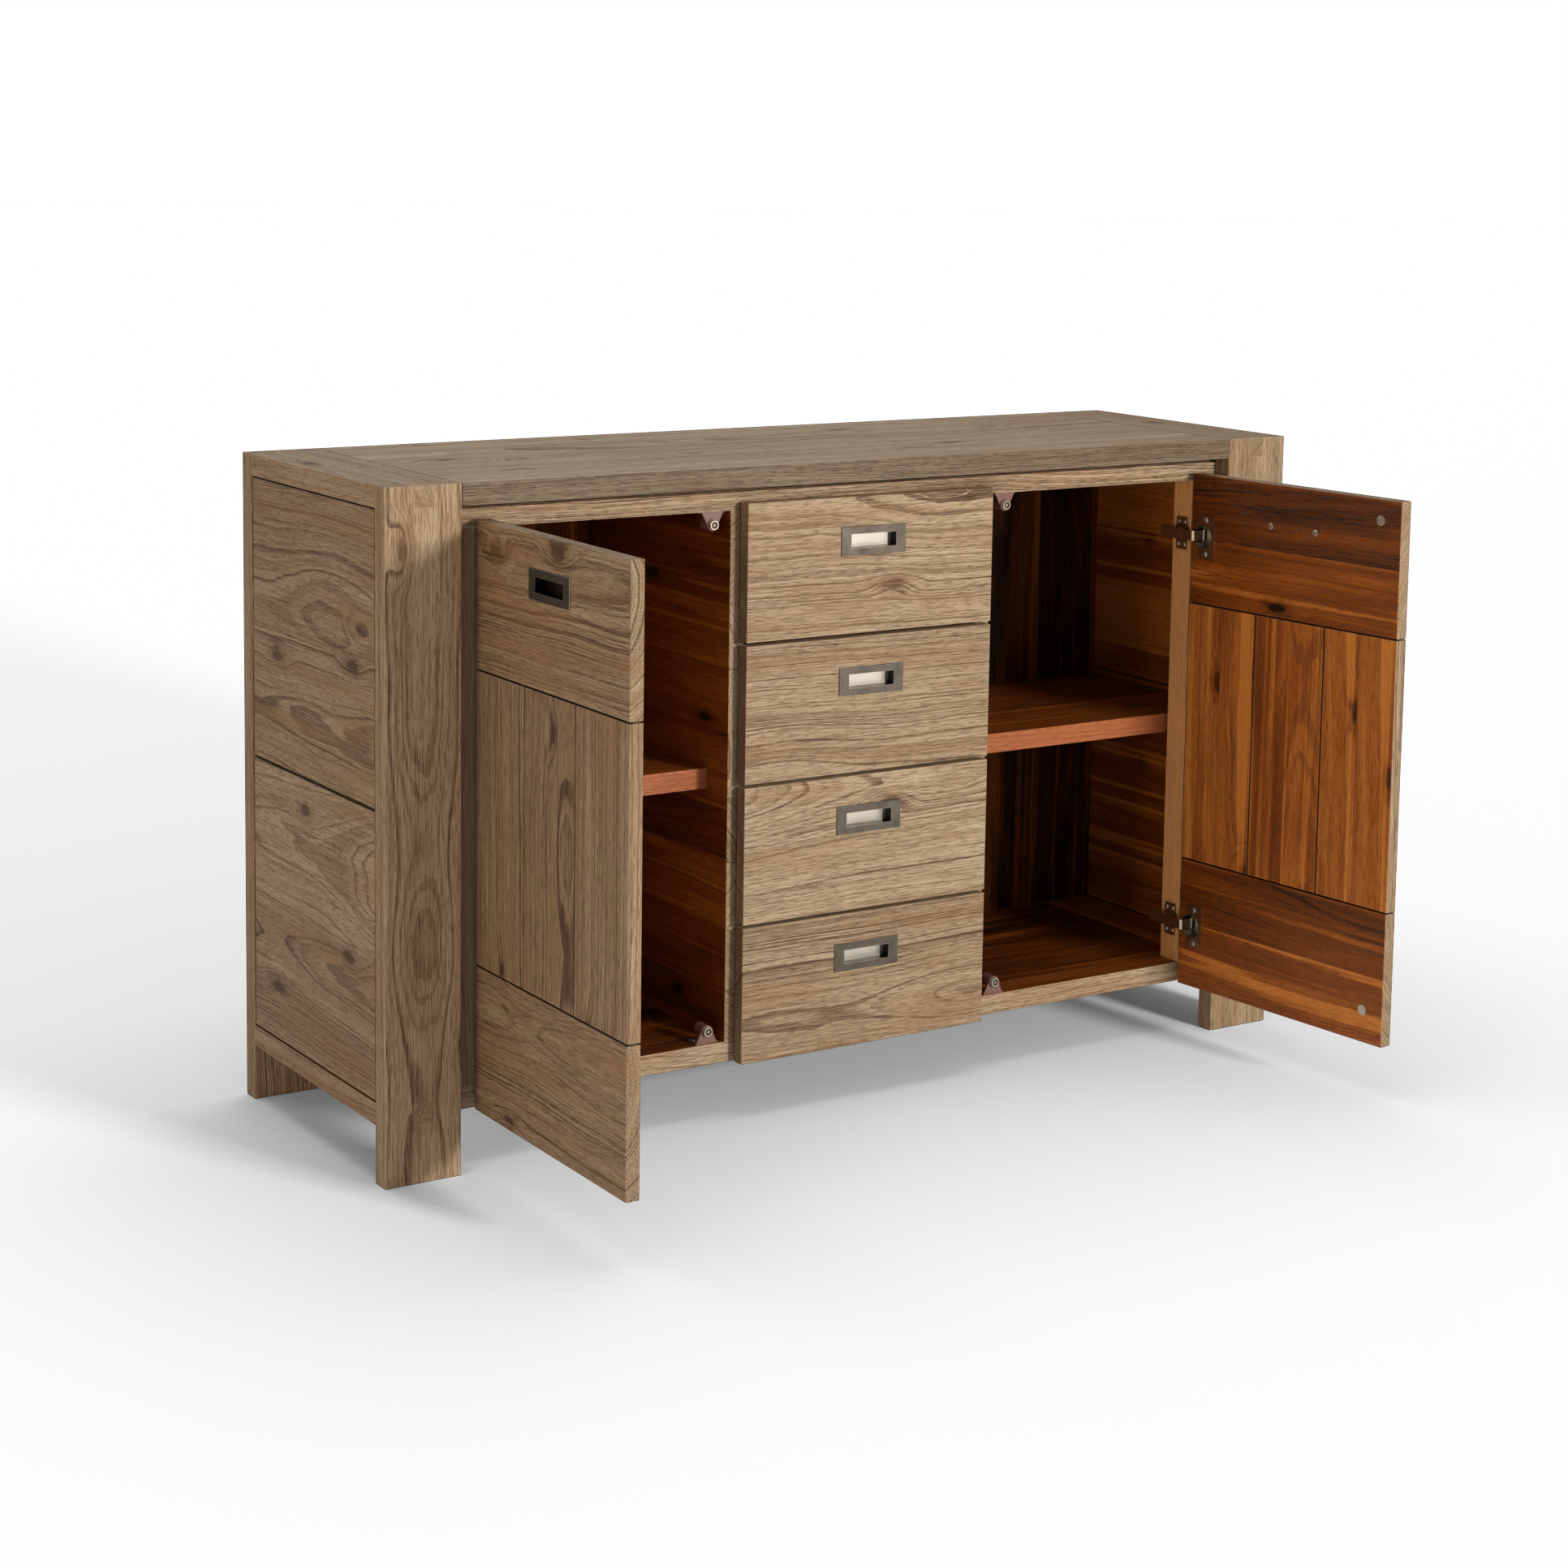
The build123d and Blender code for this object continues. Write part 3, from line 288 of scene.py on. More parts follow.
def acacia(node_name, cut, seed):
    """Brushed solid acacia.

    Outside it was wire-brushed, so late wood stands proud and the soft fibres are combed out,
    then wiped with a thin grey-brown wash and sealed matt: it looks dusty tan, with darker
    lines.  Inside it has only warm clear lacquer, which turns it orange-brown and faintly
    glossy.  Rubbed edges are paler on both.
    """
    look = bpy.context.scene.sideboard_wood
    material = blank_material("Brushed acacia, " + node_name.replace("_", " "))
    tree = material.node_tree
    spot = add(tree, "ShaderNodeTexCoord")
    place = spot.outputs["Object"]
    normal = spot.outputs["Normal"]
    if cut.door:
        pin, angle = door_turn(cut.door)
        place = add(tree, "ShaderNodeVectorRotate", {"Vector": place, "Center": pin, "Angle": -angle},
                    rotation_type="Z_AXIS").outputs[0]
        normal = add(tree, "ShaderNodeVectorRotate", {"Vector": normal, "Angle": -angle},
                     rotation_type="Z_AXIS").outputs[0]

    # which finish a face has
    facing = add(tree, VECTOR_MATH, {0: normal, 1: cut.lacquer}, operation="DOT_PRODUCT")
    facing = facing.outputs["Value"]
    comparison = "LESS_THAN" if cut.all_but else "GREATER_THAN"
    inner = add(tree, MATH, {0: facing, 1: FACES_THAT_WAY}, operation=comparison)

    # place within the one board, through its thickness from its middle
    millimetres = add(tree, VECTOR_MATH, {0: place, 1: (1000.0,) * 3}, operation="MULTIPLY")
    axes = add(tree, "ShaderNodeSeparateXYZ", {0: millimetres})
    through = next(a for a in "XYZ" if a not in (cut.grain, cut.across))
    from_first = add(tree, MATH, {0: axes.outputs[cut.across], 1: cut.first}, operation="SUBTRACT")
    width = cut.width
    if cut.inner_width != cut.width:
        width = add(tree, MIX, {"Factor": inner, 2: cut.width, 3: cut.inner_width}, data_type="FLOAT")
    share = add(tree, MATH, {0: from_first, 1: width}, operation="DIVIDE")
    number = add(tree, MATH, {0: share}, operation="FLOOR")
    within = add(tree, MATH, {0: share}, operation="FRACT")
    middle = add(tree, MATH, {0: within, 1: 0.5}, operation="SUBTRACT")
    offset = add(tree, MATH, {0: middle, 1: width}, operation="MULTIPLY")
    to_joint = add(tree, MATH, {0: middle}, operation="ABSOLUTE")
    to_joint = add(tree, MATH, {0: 0.5, 1: to_joint}, operation="SUBTRACT")
    joint_mm = add(tree, MATH, {0: to_joint, 1: width}, operation="MULTIPLY")
    deep = add(tree, MATH, {0: axes.outputs[through], 1: middle_of(node_name, cut, through)},
               operation="SUBTRACT")
    inside_board = add(tree, "ShaderNodeCombineXYZ", {0: axes.outputs[cut.grain], 1: offset, 2: deep})
    board = add(tree, MATH, {0: number, 1: seed * BOARD_STEP}, operation="ADD")
    wood = add(tree, "ShaderNodeGroup", {}, node_tree=figure_group())
    tree.links.new(inside_board.outputs[0], wood.inputs["Place"])
    tree.links.new(board.outputs[0], wood.inputs["Board"])

    # sapwood left along one edge of some strips
    at_joint = add(tree, RANGE, {"Value": joint_mm, "From Min": 8.0, "From Max": 2.0},
                   interpolation_type="SMOOTHSTEP")
    one_edge = add(tree, MATH, {0: middle, 1: 0.0}, operation="GREATER_THAN")
    some = add(tree, RANGE, {"Value": wood.outputs["Luck"], "From Min": 0.35, "From Max": 0.5,
                             "To Max": 0.7})
    sapwood = add(tree, MATH, {0: at_joint, 1: one_edge}, operation="MULTIPLY")
    sapwood = add(tree, MATH, {0: sapwood, 1: some}, operation="MULTIPLY")

    # how dark each spot is, from the rings, fibres, slow tone and the board's own luck
    washed = (("Bands", look.bands, 0.5), ("Late", look.late, 0.2), ("Fibre", look.fibre, 0.5),
              ("Tone", look.tone, 0.5), ("Luck", look.board_spread, 0.5), ("Pores", look.pores, 0.1))
    lacquered = (("Bands", 0.3, 0.5), ("Late", 0.2, 0.2), ("Fibre", 0.35, 0.5), ("Tone", 1.0, 0.5),
                 ("Luck", look.strip_spread, 0.5), ("Pores", 0.12, 0.1), ("Sap", -cut.sap, 0.1))
    colours = []
    for recipe, shade, stops in (
            (washed, cut.shade, (look.wash_light, look.wash, look.wash_dark)),
            (lacquered, cut.inner_shade, (look.lacquer_light, look.lacquer, look.lacquer_dark))):
        dark = MIDDLE_TONE + shade - cut.strength * sum(amount * usual for _, amount, usual in recipe)
        for output, amount, _ in recipe:
            dark = add(tree, MATH, {0: wood.outputs[output], 1: amount * cut.strength, 2: dark},
                       operation="MULTIPLY_ADD")
        dark = add(tree, MATH, {0: wood.outputs["Knot"], 1: 0.6, 2: dark}, operation="MULTIPLY_ADD")
        if recipe is lacquered:
            dark = add(tree, MATH, {0: sapwood, 1: -cut.sap, 2: dark}, operation="MULTIPLY_ADD")
        ramp = add(tree, "ShaderNodeValToRGB", {"Fac": dark})
        ramp.color_ramp.elements[0].color = (*stops[0], 1)
        ramp.color_ramp.elements[1].color = (*stops[2], 1)
        ramp.color_ramp.elements.new(MIDDLE_TONE).color = (*stops[1], 1)
        colours.append(ramp.outputs["Color"])
    # the wash took unevenly and lets the warm wood through in places
    warmth = add(tree, RANGE, {"Value": wood.outputs["Tone"], "From Min": 0.5, "From Max": 0.72,
                               "To Max": look.warmth})
    colours[0] = add(tree, MIX, {"Factor": warmth, 6: colours[0], 7: (*look.warm, 1)},
                     data_type="RGBA").outputs[2]
    colour = add(tree, MIX, {"Factor": inner, 6: colours[0], 7: colours[1]},
                 data_type="RGBA").outputs[2]
    # faces turned the bright way get a lighter colour: sealer on the shelf fronts, painted light on the
    # stiles' inner sides
    if cut.bright:
        sealed = add(tree, VECTOR_MATH, {0: normal, 1: cut.bright}, operation="DOT_PRODUCT")
        sealed = add(tree, MATH, {0: sealed.outputs["Value"], 1: FACES_THAT_WAY},
                     operation="GREATER_THAN")
        streaks = add(tree, RANGE, {"Value": wood.outputs["Fibre"], "From Min": 0.3, "From Max": 0.7,
                                    "To Min": 0.95, "To Max": 0.6})
        sealed = add(tree, MATH, {0: sealed, 1: streaks}, operation="MULTIPLY")
        colour = add(tree, MIX, {"Factor": sealed, 6: colour, 7: (*getattr(look, cut.bright_in), 1)},
                     data_type="RGBA").outputs[2]

    # rubbed edges
    rounded = add(tree, "ShaderNodeBevel", {"Radius": look.worn_edge}, samples=4)
    flat = add(tree, "ShaderNodeNewGeometry")
    turned = add(tree, VECTOR_MATH, {0: rounded, 1: flat.outputs["True Normal"]},
                 operation="DOT_PRODUCT")
    worn = add(tree, RANGE, {"Value": turned.outputs["Value"], "From Min": 0.995, "From Max": 0.8,
                             "To Max": 0.75})
    patchy = add(tree, MATH, {0: worn, 1: wood.outputs["Fibre"]}, operation="MULTIPLY")
    pale = add(tree, MIX, {"Factor": inner, 6: (*look.worn, 1), 7: (*look.worn_lacquer, 1)},
               data_type="RGBA")
    colour = add(tree, MIX, {"Factor": patchy, 6: colour, 7: pale.outputs[2]},
                 data_type="RGBA").outputs[2]

    # painted shade: ambient occlusion darkens joints, corners and contacts, for the wash and dust left
    # there and for the shade that falls there
    occlusion_shade = add(tree, "ShaderNodeAmbientOcclusion", {"Distance": look.joint_reach}, samples=6,
                   only_local=True)
    dust_and_shade = add(tree, RANGE, {"Value": occlusion_shade.outputs["AO"], "From Min": 0.62, "From Max": 0.2,
                              "To Max": look.joint_dirt_and_shade})
    grime_and_shade = add(tree, MIX, {"Factor": inner, 6: (*look.grime_and_shade, 1), 7: (*look.lacquer_dark, 1)},
                data_type="RGBA")
    colour = add(tree, MIX, {"Factor": dust_and_shade, 6: colour, 7: grime_and_shade.outputs[2]},
                 data_type="RGBA").outputs[2]

    # dark lines along the seams: dirt in the open joints, and painted shade inside the grooves, such as
    # the shadow groove under the top
    for axis, at_mm in cut.seams:
        away = add(tree, MATH, {0: axes.outputs[axis], 1: at_mm}, operation="SUBTRACT")
        away = add(tree, MATH, {0: away}, operation="ABSOLUTE")
        line = add(tree, RANGE, {"Value": away, "From Min": 1.8 * cut.seam_mm, "From Max": cut.seam_mm,
                                 "To Max": look.seam_dirt_and_shade})
        colour = add(tree, MIX, {"Factor": line, 6: colour, 7: grime_and_shade.outputs[2]},
                     data_type="RGBA").outputs[2]

    # glue lines between boards planed flush
    height = wood.outputs["Late"]
    if cut.glue:
        line = add(tree, RANGE, {"Value": joint_mm, "From Min": 1.1, "From Max": 0.4,
                                 "To Max": cut.glue})
        shadow = add(tree, MIX, {"Factor": line, 6: colour, 7: (*look.lacquer_dark, 1)},
                     data_type="RGBA")
        colour = shadow.outputs[2]
        height = add(tree, MATH, {0: line, 1: -1.2, 2: height}, operation="MULTIPLY_ADD")
    height = add(tree, MATH, {0: wood.outputs["Fibre"], 1: 0.9, 2: height}, operation="MULTIPLY_ADD")
    height = add(tree, MATH, {0: wood.outputs["Pores"], 1: -0.8, 2: height}, operation="MULTIPLY_ADD")
    relief = add(tree, "ShaderNodeBump", {"Strength": 0.9, "Distance": look.relief, "Height": height})
    sheen = add(tree, MIX, {"Factor": inner, 2: look.wash_roughness, 3: look.lacquer_roughness},
                data_type="FLOAT")
    rough = add(tree, MATH, {0: wood.outputs["Fibre"], 1: 0.22, 2: sheen}, operation="MULTIPLY_ADD")
    shader = add(tree, "ShaderNodeBsdfPrincipled",
                 {"Base Color": colour, "Roughness": rough, "Normal": relief, "IOR": 1.5,
                  "Specular IOR Level": cut.gloss})
    add(tree, "ShaderNodeOutputMaterial", {"Surface": shader})
    return material


# ------------------------------------------------------------------ metals and plastic
CUP_FROM_Y = (DOOR_MIDDLE_MM - 8.8) * MM        # a little behind the face of a door or drawer
CUP_BACK_Y = CUP_FROM_Y + 12.6 * MM


def pull_plating(name, cup, door=None):
    """Zinc die casting: a frame in brushed dark pewter round a bright nickel finger cup.

    The frame is dull grey-brown with a soft, close mottle and paler rubbed edges.  The cup's
    walls are painted dark as painted shade, and its back came out smooth in the colour given as cup.
    """
    look = bpy.context.scene.sideboard_metal
    material = blank_material(name)
    tree = material.node_tree
    spot = add(tree, "ShaderNodeTexCoord")
    place = spot.outputs["Object"]
    if door:
        pin, angle = door_turn(door)
        place = add(tree, "ShaderNodeVectorRotate", {"Vector": place, "Center": pin, "Angle": -angle},
                    rotation_type="Z_AXIS").outputs[0]
    speckle = add(tree, NOISE, {"Vector": place, "Scale": 1000 / look.speckle_mm, "Detail": 5.0,
                                "Roughness": 0.7})
    cloud = add(tree, NOISE, {"Vector": place, "Scale": 1000 / 26.0, "Detail": 3.0})
    half_speckle = add(tree, MATH, {0: speckle.outputs["Fac"], 1: 0.5}, operation="MULTIPLY")
    mottle = add(tree, MATH, {0: cloud.outputs["Fac"], 1: 0.5, 2: half_speckle},
                 operation="MULTIPLY_ADD")
    ramp = add(tree, "ShaderNodeValToRGB", {"Fac": mottle})
    ramp.color_ramp.elements[0].color = (*look.pewter_dark, 1)
    ramp.color_ramp.elements[0].position = 0.35
    ramp.color_ramp.elements[1].color = (*look.pewter_light, 1)
    ramp.color_ramp.elements[1].position = 0.65
    rounded = add(tree, "ShaderNodeBevel", {"Radius": 0.9 * MM}, samples=4)
    flat = add(tree, "ShaderNodeNewGeometry")
    turned = add(tree, VECTOR_MATH, {0: rounded, 1: flat.outputs["True Normal"]},
                 operation="DOT_PRODUCT")
    rubbed = add(tree, RANGE, {"Value": turned.outputs["Value"], "From Min": 0.99, "From Max": 0.8,
                               "To Max": 0.7})
    edged = add(tree, MIX, {"Factor": rubbed, 6: ramp, 7: (*look.nickel, 1)}, data_type="RGBA")
    parts = add(tree, "ShaderNodeSeparateXYZ", {0: place})
    # painted shade: the walls of the finger cup take a dark colour
    in_cup = add(tree, MATH, {0: parts.outputs["Y"], 1: CUP_FROM_Y}, operation="GREATER_THAN")
    walls = add(tree, MIX, {"Factor": in_cup, 6: edged.outputs[2], 7: (*look.cup_walls_painted_shade, 1)},
                data_type="RGBA")
    at_back = add(tree, MATH, {0: parts.outputs["Y"], 1: CUP_BACK_Y}, operation="GREATER_THAN")
    colour = add(tree, MIX, {"Factor": at_back, 6: walls.outputs[2], 7: (*cup, 1)}, data_type="RGBA")
    frame_rough = add(tree, RANGE, {"Value": mottle, "From Min": 0.35, "From Max": 0.65,
                                    "To Min": 0.56, "To Max": 0.4})
    cup_rough = add(tree, RANGE, {"Value": cloud.outputs["Fac"], "From Min": 0.3, "From Max": 0.7,
                                  "To Min": 0.42, "To Max": 0.34})
    rough = add(tree, MIX, {"Factor": in_cup, 2: frame_rough, 3: cup_rough}, data_type="FLOAT")
    relief = add(tree, "ShaderNodeBump", {"Strength": 0.3, "Distance": 0.12 * MM, "Height": speckle})
    shader = add(tree, "ShaderNodeBsdfPrincipled",
                 {"Base Color": colour.outputs[2], "Metallic": 1.0, "Roughness": rough,
                  "Normal": relief})
    add(tree, "ShaderNodeOutputMaterial", {"Surface": shader})
    return material


SHADE_PAINTED_ON_PLATING = "#1E1813"        # painted shade: plating colour where ambient occlusion finds little light
SHADE_REACH = 28 * MM


def plated_steel(name, colour, roughness, grain_mm):
    """Pressed or turned steel with a thin electroplated coat.

    It is an even, cool grey with soft streaks from drawing.  Inside cups and between plates it is
    painted dark from ambient occlusion, as painted shade.
    """
    material = blank_material(name)
    tree = material.node_tree
    spot = add(tree, "ShaderNodeTexCoord")
    stretch = add(tree, VECTOR_MATH, {0: spot.outputs["Object"], 1: (1.0, 1.0, 0.12)},
                  operation="MULTIPLY")
    streak = add(tree, NOISE, {"Vector": stretch, "Scale": 1000 / grain_mm, "Detail": 3.0})
    worn = add(tree, NOISE, {"Vector": spot.outputs["Object"], "Scale": 1000 / 18.0, "Detail": 2.0})
    tint = add(tree, RANGE, {"Value": worn.outputs["Fac"], "From Min": 0.3, "From Max": 0.7,
                             "To Min": 0.86, "To Max": 1.05})
    shade = add(tree, VECTOR_MATH, {0: colour, "Scale": tint}, operation="SCALE")
    # painted shade: ambient occlusion darkens the plating in cups and between plates
    occlusion_shade = add(tree, "ShaderNodeAmbientOcclusion", {"Distance": SHADE_REACH}, samples=6)
    painted_shade = add(tree, RANGE, {"Value": occlusion_shade.outputs["AO"], "From Min": 0.6, "From Max": 0.2,
                               "To Max": 0.85})
    shade = add(tree, MIX, {"Factor": painted_shade, 6: shade, 7: linear(SHADE_PAINTED_ON_PLATING, 1)}, data_type="RGBA")
    shade = shade.outputs[2]
    rough = add(tree, RANGE, {"Value": streak.outputs["Fac"], "From Min": 0.3, "From Max": 0.7,
                              "To Min": roughness - 0.07, "To Max": roughness + 0.1})
    relief = add(tree, "ShaderNodeBump", {"Strength": 0.25, "Distance": 0.05 * MM, "Height": streak})
    shader = add(tree, "ShaderNodeBsdfPrincipled",
                 {"Base Color": shade, "Metallic": 1.0, "Roughness": rough, "Normal": relief})
    add(tree, "ShaderNodeOutputMaterial", {"Surface": shader})
    return material


MAGNET_AXIS_MM = (229.5, 329.0, 446.0)      # sideways, up and down from the middle level, that level
FERRITE_MM = (4.9, 4.5)                     # radius where the can ends and where the ferrite is full
RIVET_MM = (2.5, 2.1)


def magnet_can():
    """Nickel plated steel can round a sintered ferrite magnet.

    The can's rim shines, the ferrite inside it is dull dark grey, and a rivet head sits in its middle.
    """
    look = bpy.context.scene.sideboard_metal
    material = blank_material("Nickel plated can with ferrite magnet")
    tree = material.node_tree
    spot = add(tree, "ShaderNodeTexCoord")
    millimetres = add(tree, VECTOR_MATH, {0: spot.outputs["Object"], 1: (1000.0,) * 3},
                      operation="MULTIPLY")
    axes = add(tree, "ShaderNodeSeparateXYZ", {0: millimetres})
    aside = add(tree, MATH, {0: axes.outputs["X"]}, operation="ABSOLUTE")
    aside = add(tree, MATH, {0: aside, 1: MAGNET_AXIS_MM[0]}, operation="SUBTRACT")
    level = add(tree, MATH, {0: axes.outputs["Z"], 1: MAGNET_AXIS_MM[2]}, operation="SUBTRACT")
    level = add(tree, MATH, {0: level}, operation="ABSOLUTE")
    above = add(tree, MATH, {0: level, 1: MAGNET_AXIS_MM[1]}, operation="SUBTRACT")
    from_axis = add(tree, "ShaderNodeCombineXYZ", {0: aside, 1: above})
    radius = add(tree, VECTOR_MATH, {0: from_axis}, operation="LENGTH")
    ferrite = add(tree, RANGE, {"Value": radius.outputs["Value"], "From Min": FERRITE_MM[0],
                                "From Max": FERRITE_MM[1]})
    rivet = add(tree, RANGE, {"Value": radius.outputs["Value"], "From Min": RIVET_MM[0],
                              "From Max": RIVET_MM[1]})
    sinter = add(tree, NOISE, {"Vector": millimetres, "Scale": 1 / 0.6, "Detail": 2.0})
    colour = add(tree, MIX, {"Factor": ferrite, 6: (*look.nickel, 1), 7: linear("#3B3430", 1)},
                 data_type="RGBA")
    colour = add(tree, MIX, {"Factor": rivet, 6: colour.outputs[2], 7: linear("#8F8780", 1)},
                 data_type="RGBA")
    dull = add(tree, MATH, {0: ferrite, 1: 0.35, 2: 0.3}, operation="MULTIPLY_ADD")
    relief = add(tree, "ShaderNodeBump", {"Strength": 0.3, "Distance": 0.05 * MM, "Height": sinter})
    shader = add(tree, "ShaderNodeBsdfPrincipled",
                 {"Base Color": colour.outputs[2], "Metallic": 1.0, "Roughness": dull,
                  "Normal": relief})
    add(tree, "ShaderNodeOutputMaterial", {"Surface": shader})
    return material


def moulded_plastic():
    """Injection-moulded polypropylene: brown through and through, satin, with a fine pebble."""
    look = bpy.context.scene.sideboard_metal
    material = blank_material("Moulded polypropylene")
    tree = material.node_tree
    spot = add(tree, "ShaderNodeTexCoord")
    pebble = add(tree, NOISE, {"Vector": spot.outputs["Object"], "Scale": 1000 / 0.8, "Detail": 2.0})
    cloud = add(tree, NOISE, {"Vector": spot.outputs["Object"], "Scale": 1000 / 14.0, "Detail": 2.0})
    tint = add(tree, RANGE, {"Value": cloud.outputs["Fac"], "From Min": 0.3, "From Max": 0.7,
                             "To Min": 0.9, "To Max": 1.1})
    shade = add(tree, VECTOR_MATH, {0: look.plastic, "Scale": tint}, operation="SCALE")
    relief = add(tree, "ShaderNodeBump", {"Strength": 0.3, "Distance": 0.05 * MM, "Height": pebble})
    shader = add(tree, "ShaderNodeBsdfPrincipled",
                 {"Base Color": shade, "Roughness": 0.42, "IOR": 1.49, "Normal": relief})
    add(tree, "ShaderNodeOutputMaterial", {"Surface": shader})
    return material


# ------------------------------------------------------------------ settings
def colour_choice(name, description, code):
    """A colour that a user can change, from its hex code."""
    return FloatVectorProperty(name=name, description=description, default=linear(code),
                               subtype="COLOR", min=0, max=1)


def strength_choice(name, description, default, most):
    """A strength or share that a user can change."""
    return FloatProperty(name=name, description=description, default=default,
                         subtype="FACTOR", min=0, max=most)


class WoodSettings(bpy.types.PropertyGroup):
    """Colours and relief of the acacia boards."""

    wash_light: colour_choice("Wash, palest", "Palest fibres under the grey-brown wash", "#B8A68C")
    wash: colour_choice("Wash", "Usual colour of the washed outside", "#8E775D")
    wash_dark: colour_choice("Wash, darkest", "Late wood and knots under the wash", "#4B3524")
    lacquer_light: colour_choice("Lacquer, palest", "Palest fibres and sapwood under clear lacquer",
                                 "#C97F36")
    lacquer: colour_choice("Lacquer", "Usual colour of the lacquered inside", "#8B4914")
    lacquer_dark: colour_choice("Lacquer, darkest", "Late wood, knots and glue lines inside", "#200C03")
    worn: colour_choice("Worn edge", "Rubbed edges outside", "#BDA384")
    worn_lacquer: colour_choice("Worn edge inside", "Rubbed edges under lacquer", "#C98A58")
    worn_edge: FloatProperty(
        name="Worn edge width", description="How far the rubbing reaches from an edge",
        default=2.6 * MM, subtype="DISTANCE", unit="LENGTH", min=0)
    relief: FloatProperty(
        name="Brushed relief", description="Depth that the wire brush left between the fibres",
        default=0.7 * MM, subtype="DISTANCE", unit="LENGTH", min=0)
    bands: strength_choice("Bands", "Strength of the soft bands of the growth rings", 0.3, 2)
    late: strength_choice("Late wood", "Strength of the crisp dark lines between the rings", 0.66, 1)
    fibre: strength_choice("Fibre", "Strength of the fine streaks", 0.95, 2)
    tone: strength_choice("Tone", "Strength of the slow change of colour along a board", 0.3, 2)
    pores: strength_choice("Pores", "Strength of the open pores", 0.22, 1)
    board_spread: strength_choice("Board spread", "How much washed boards differ from each other",
                                  0.15, 1)
    strip_spread: strength_choice("Strip spread", "How much lacquered strips differ from each other",
                                  0.42, 1)
    warmth: strength_choice("Warmth", "How much warm wood shows through a thin wash", 0.5, 1)
    warm: colour_choice("Warm wood", "Wood where the wash is thin", "#94714C")
    sealed: colour_choice("Sealed edge", "Front edges of the shelves under clear sealer", "#AC6640")
    # painted light: this pale colour on the stiles' inner sides stands for the light that falls on them
    sapwood: colour_choice("Sapwood edge",
                           "Inner edges of the stiles, pale sapwood under clear sealer", "#E0AC74")
    # painted shade: the joint reach and joint dust below set how far and how much ambient occlusion
    # darkens joints and corners, for wash, dust and shade
    joint_reach: FloatProperty(
        name="Joint reach", description="How wide an open joint still gathers dust",
        default=9 * MM, subtype="DISTANCE", unit="LENGTH", min=0)
    joint_dirt_and_shade: strength_choice("Joint dust", "How much wash and dust stays in the open joints", 0.85,
                                1)
    # painted shade: the darkness of the seam lines, which stand for dirt in the joints and shade in the
    # grooves
    seam_dirt_and_shade: strength_choice("Joint darkness", "How dark the open joints and grooves are", 0.93, 1)
    grime_and_shade: colour_choice("Joint colour", "Wash and dust left in the joints outside", "#22160E")
    wash_roughness: strength_choice("Wash roughness", "Roughness of the matt outside", 0.5, 1)
    lacquer_roughness: strength_choice("Lacquer roughness", "Roughness of the lacquered inside", 0.3, 1)


class MetalSettings(bpy.types.PropertyGroup):
    """Colours of the pulls, hinges and catches."""

    pewter_dark: colour_choice("Pull, dark", "Hollows of the antique plating", "#4C4741")
    pewter_light: colour_choice("Pull, light", "Rubbed high spots of the antique plating", "#6E6861")
    cup: colour_choice("Finger cup", "Bright nickel inside the finger cups", "#C4BFB7")
    # painted shade: dark colour for the walls of the finger cups
    cup_walls_painted_shade: colour_choice("Cup walls", "Dull walls of the finger cups", "#2C2824")
    # painted shade: the backs of the door cups are painted dark, for the shade they stand in
    door_cup: colour_choice("Door cup", "Backs of the finger cups of the doors", "#3D3833")
    speckle_mm: FloatProperty(
        name="Speckle", description="Size of the mottling of the pulls in millimetres",
        default=2.2, min=0.2)
    nickel: colour_choice("Nickel", "Nickel plating of the hinges", "#D3CEBD")
    zinc: colour_choice("Zinc", "Zinc plating of the screws, runners and magnets", "#D0D1CF")
    plastic: colour_choice("Catch", "Moulded brackets of the catches", "#74554D")


class StudioSettings(bpy.types.PropertyGroup):
    """Floor, lights and camera."""

    floor: colour_choice("Floor", "Matt painted studio floor", "#F4F3F1")
    sky: FloatProperty(
        name="Room light", description="Strength of the even light from all sides",
        default=0.3, min=0)
    key: FloatProperty(
        name="Key light", description="Power of the soft box in front", default=225.0,
        subtype="POWER", unit="POWER", min=0)
    fill: FloatProperty(
        name="Fill light", description="Power of the broad soft box on the left", default=66.0,
        subtype="POWER", unit="POWER", min=0)
    top: FloatProperty(
        name="Top light", description="Power of the wide soft box overhead", default=42.0,
        subtype="POWER", unit="POWER", min=0)
    lens: FloatProperty(
        name="Lens", description="Focal length for a 36 mm sensor, in millimetres",
        default=69.7, subtype="DISTANCE_CAMERA", min=10)


# ------------------------------------------------------------------ pieces
SIDE_MM = 697.5              # outer side of the cabinet
POST_MM = 596.5              # inner edge of the posts
POST_WIDTH_MM = SIDE_MM - POST_MM
DEPTH_MM = 423.0
STRIP_MM = 84.0              # strips glued up for the inside faces
DOOR_EDGES_MM = (195.5, 573.5)
DOOR_FOOT_MM = 73.0
DOOR_JOINTS_MM = (255.0, 621.0)             # where the planks meet the bottom and the top board
DOOR_BOARD_MM = DOOR_JOINTS_MM[0] - DOOR_FOOT_MM
PLANK_MM = (DOOR_EDGES_MM[1] - DOOR_EDGES_MM[0]) / 3
FRONT = (0.0, -1.0, 0.0)
BACK = (0.0, 1.0, 0.0)
SIDES = {"left": -1, "right": 1}
DOOR_PAINTED_SHADE = {"left": 0.06, "right": 0.0}   # painted shade: the open left door is painted darker for the shade on its face


def finish_boards(cuts):
    """Makes and assigns one acacia material for each named node."""
    for seed, (node_name, cut) in enumerate(sorted(cuts.items()), start=1):
        dress(node_name, acacia(node_name, cut, seed + len(cuts)))


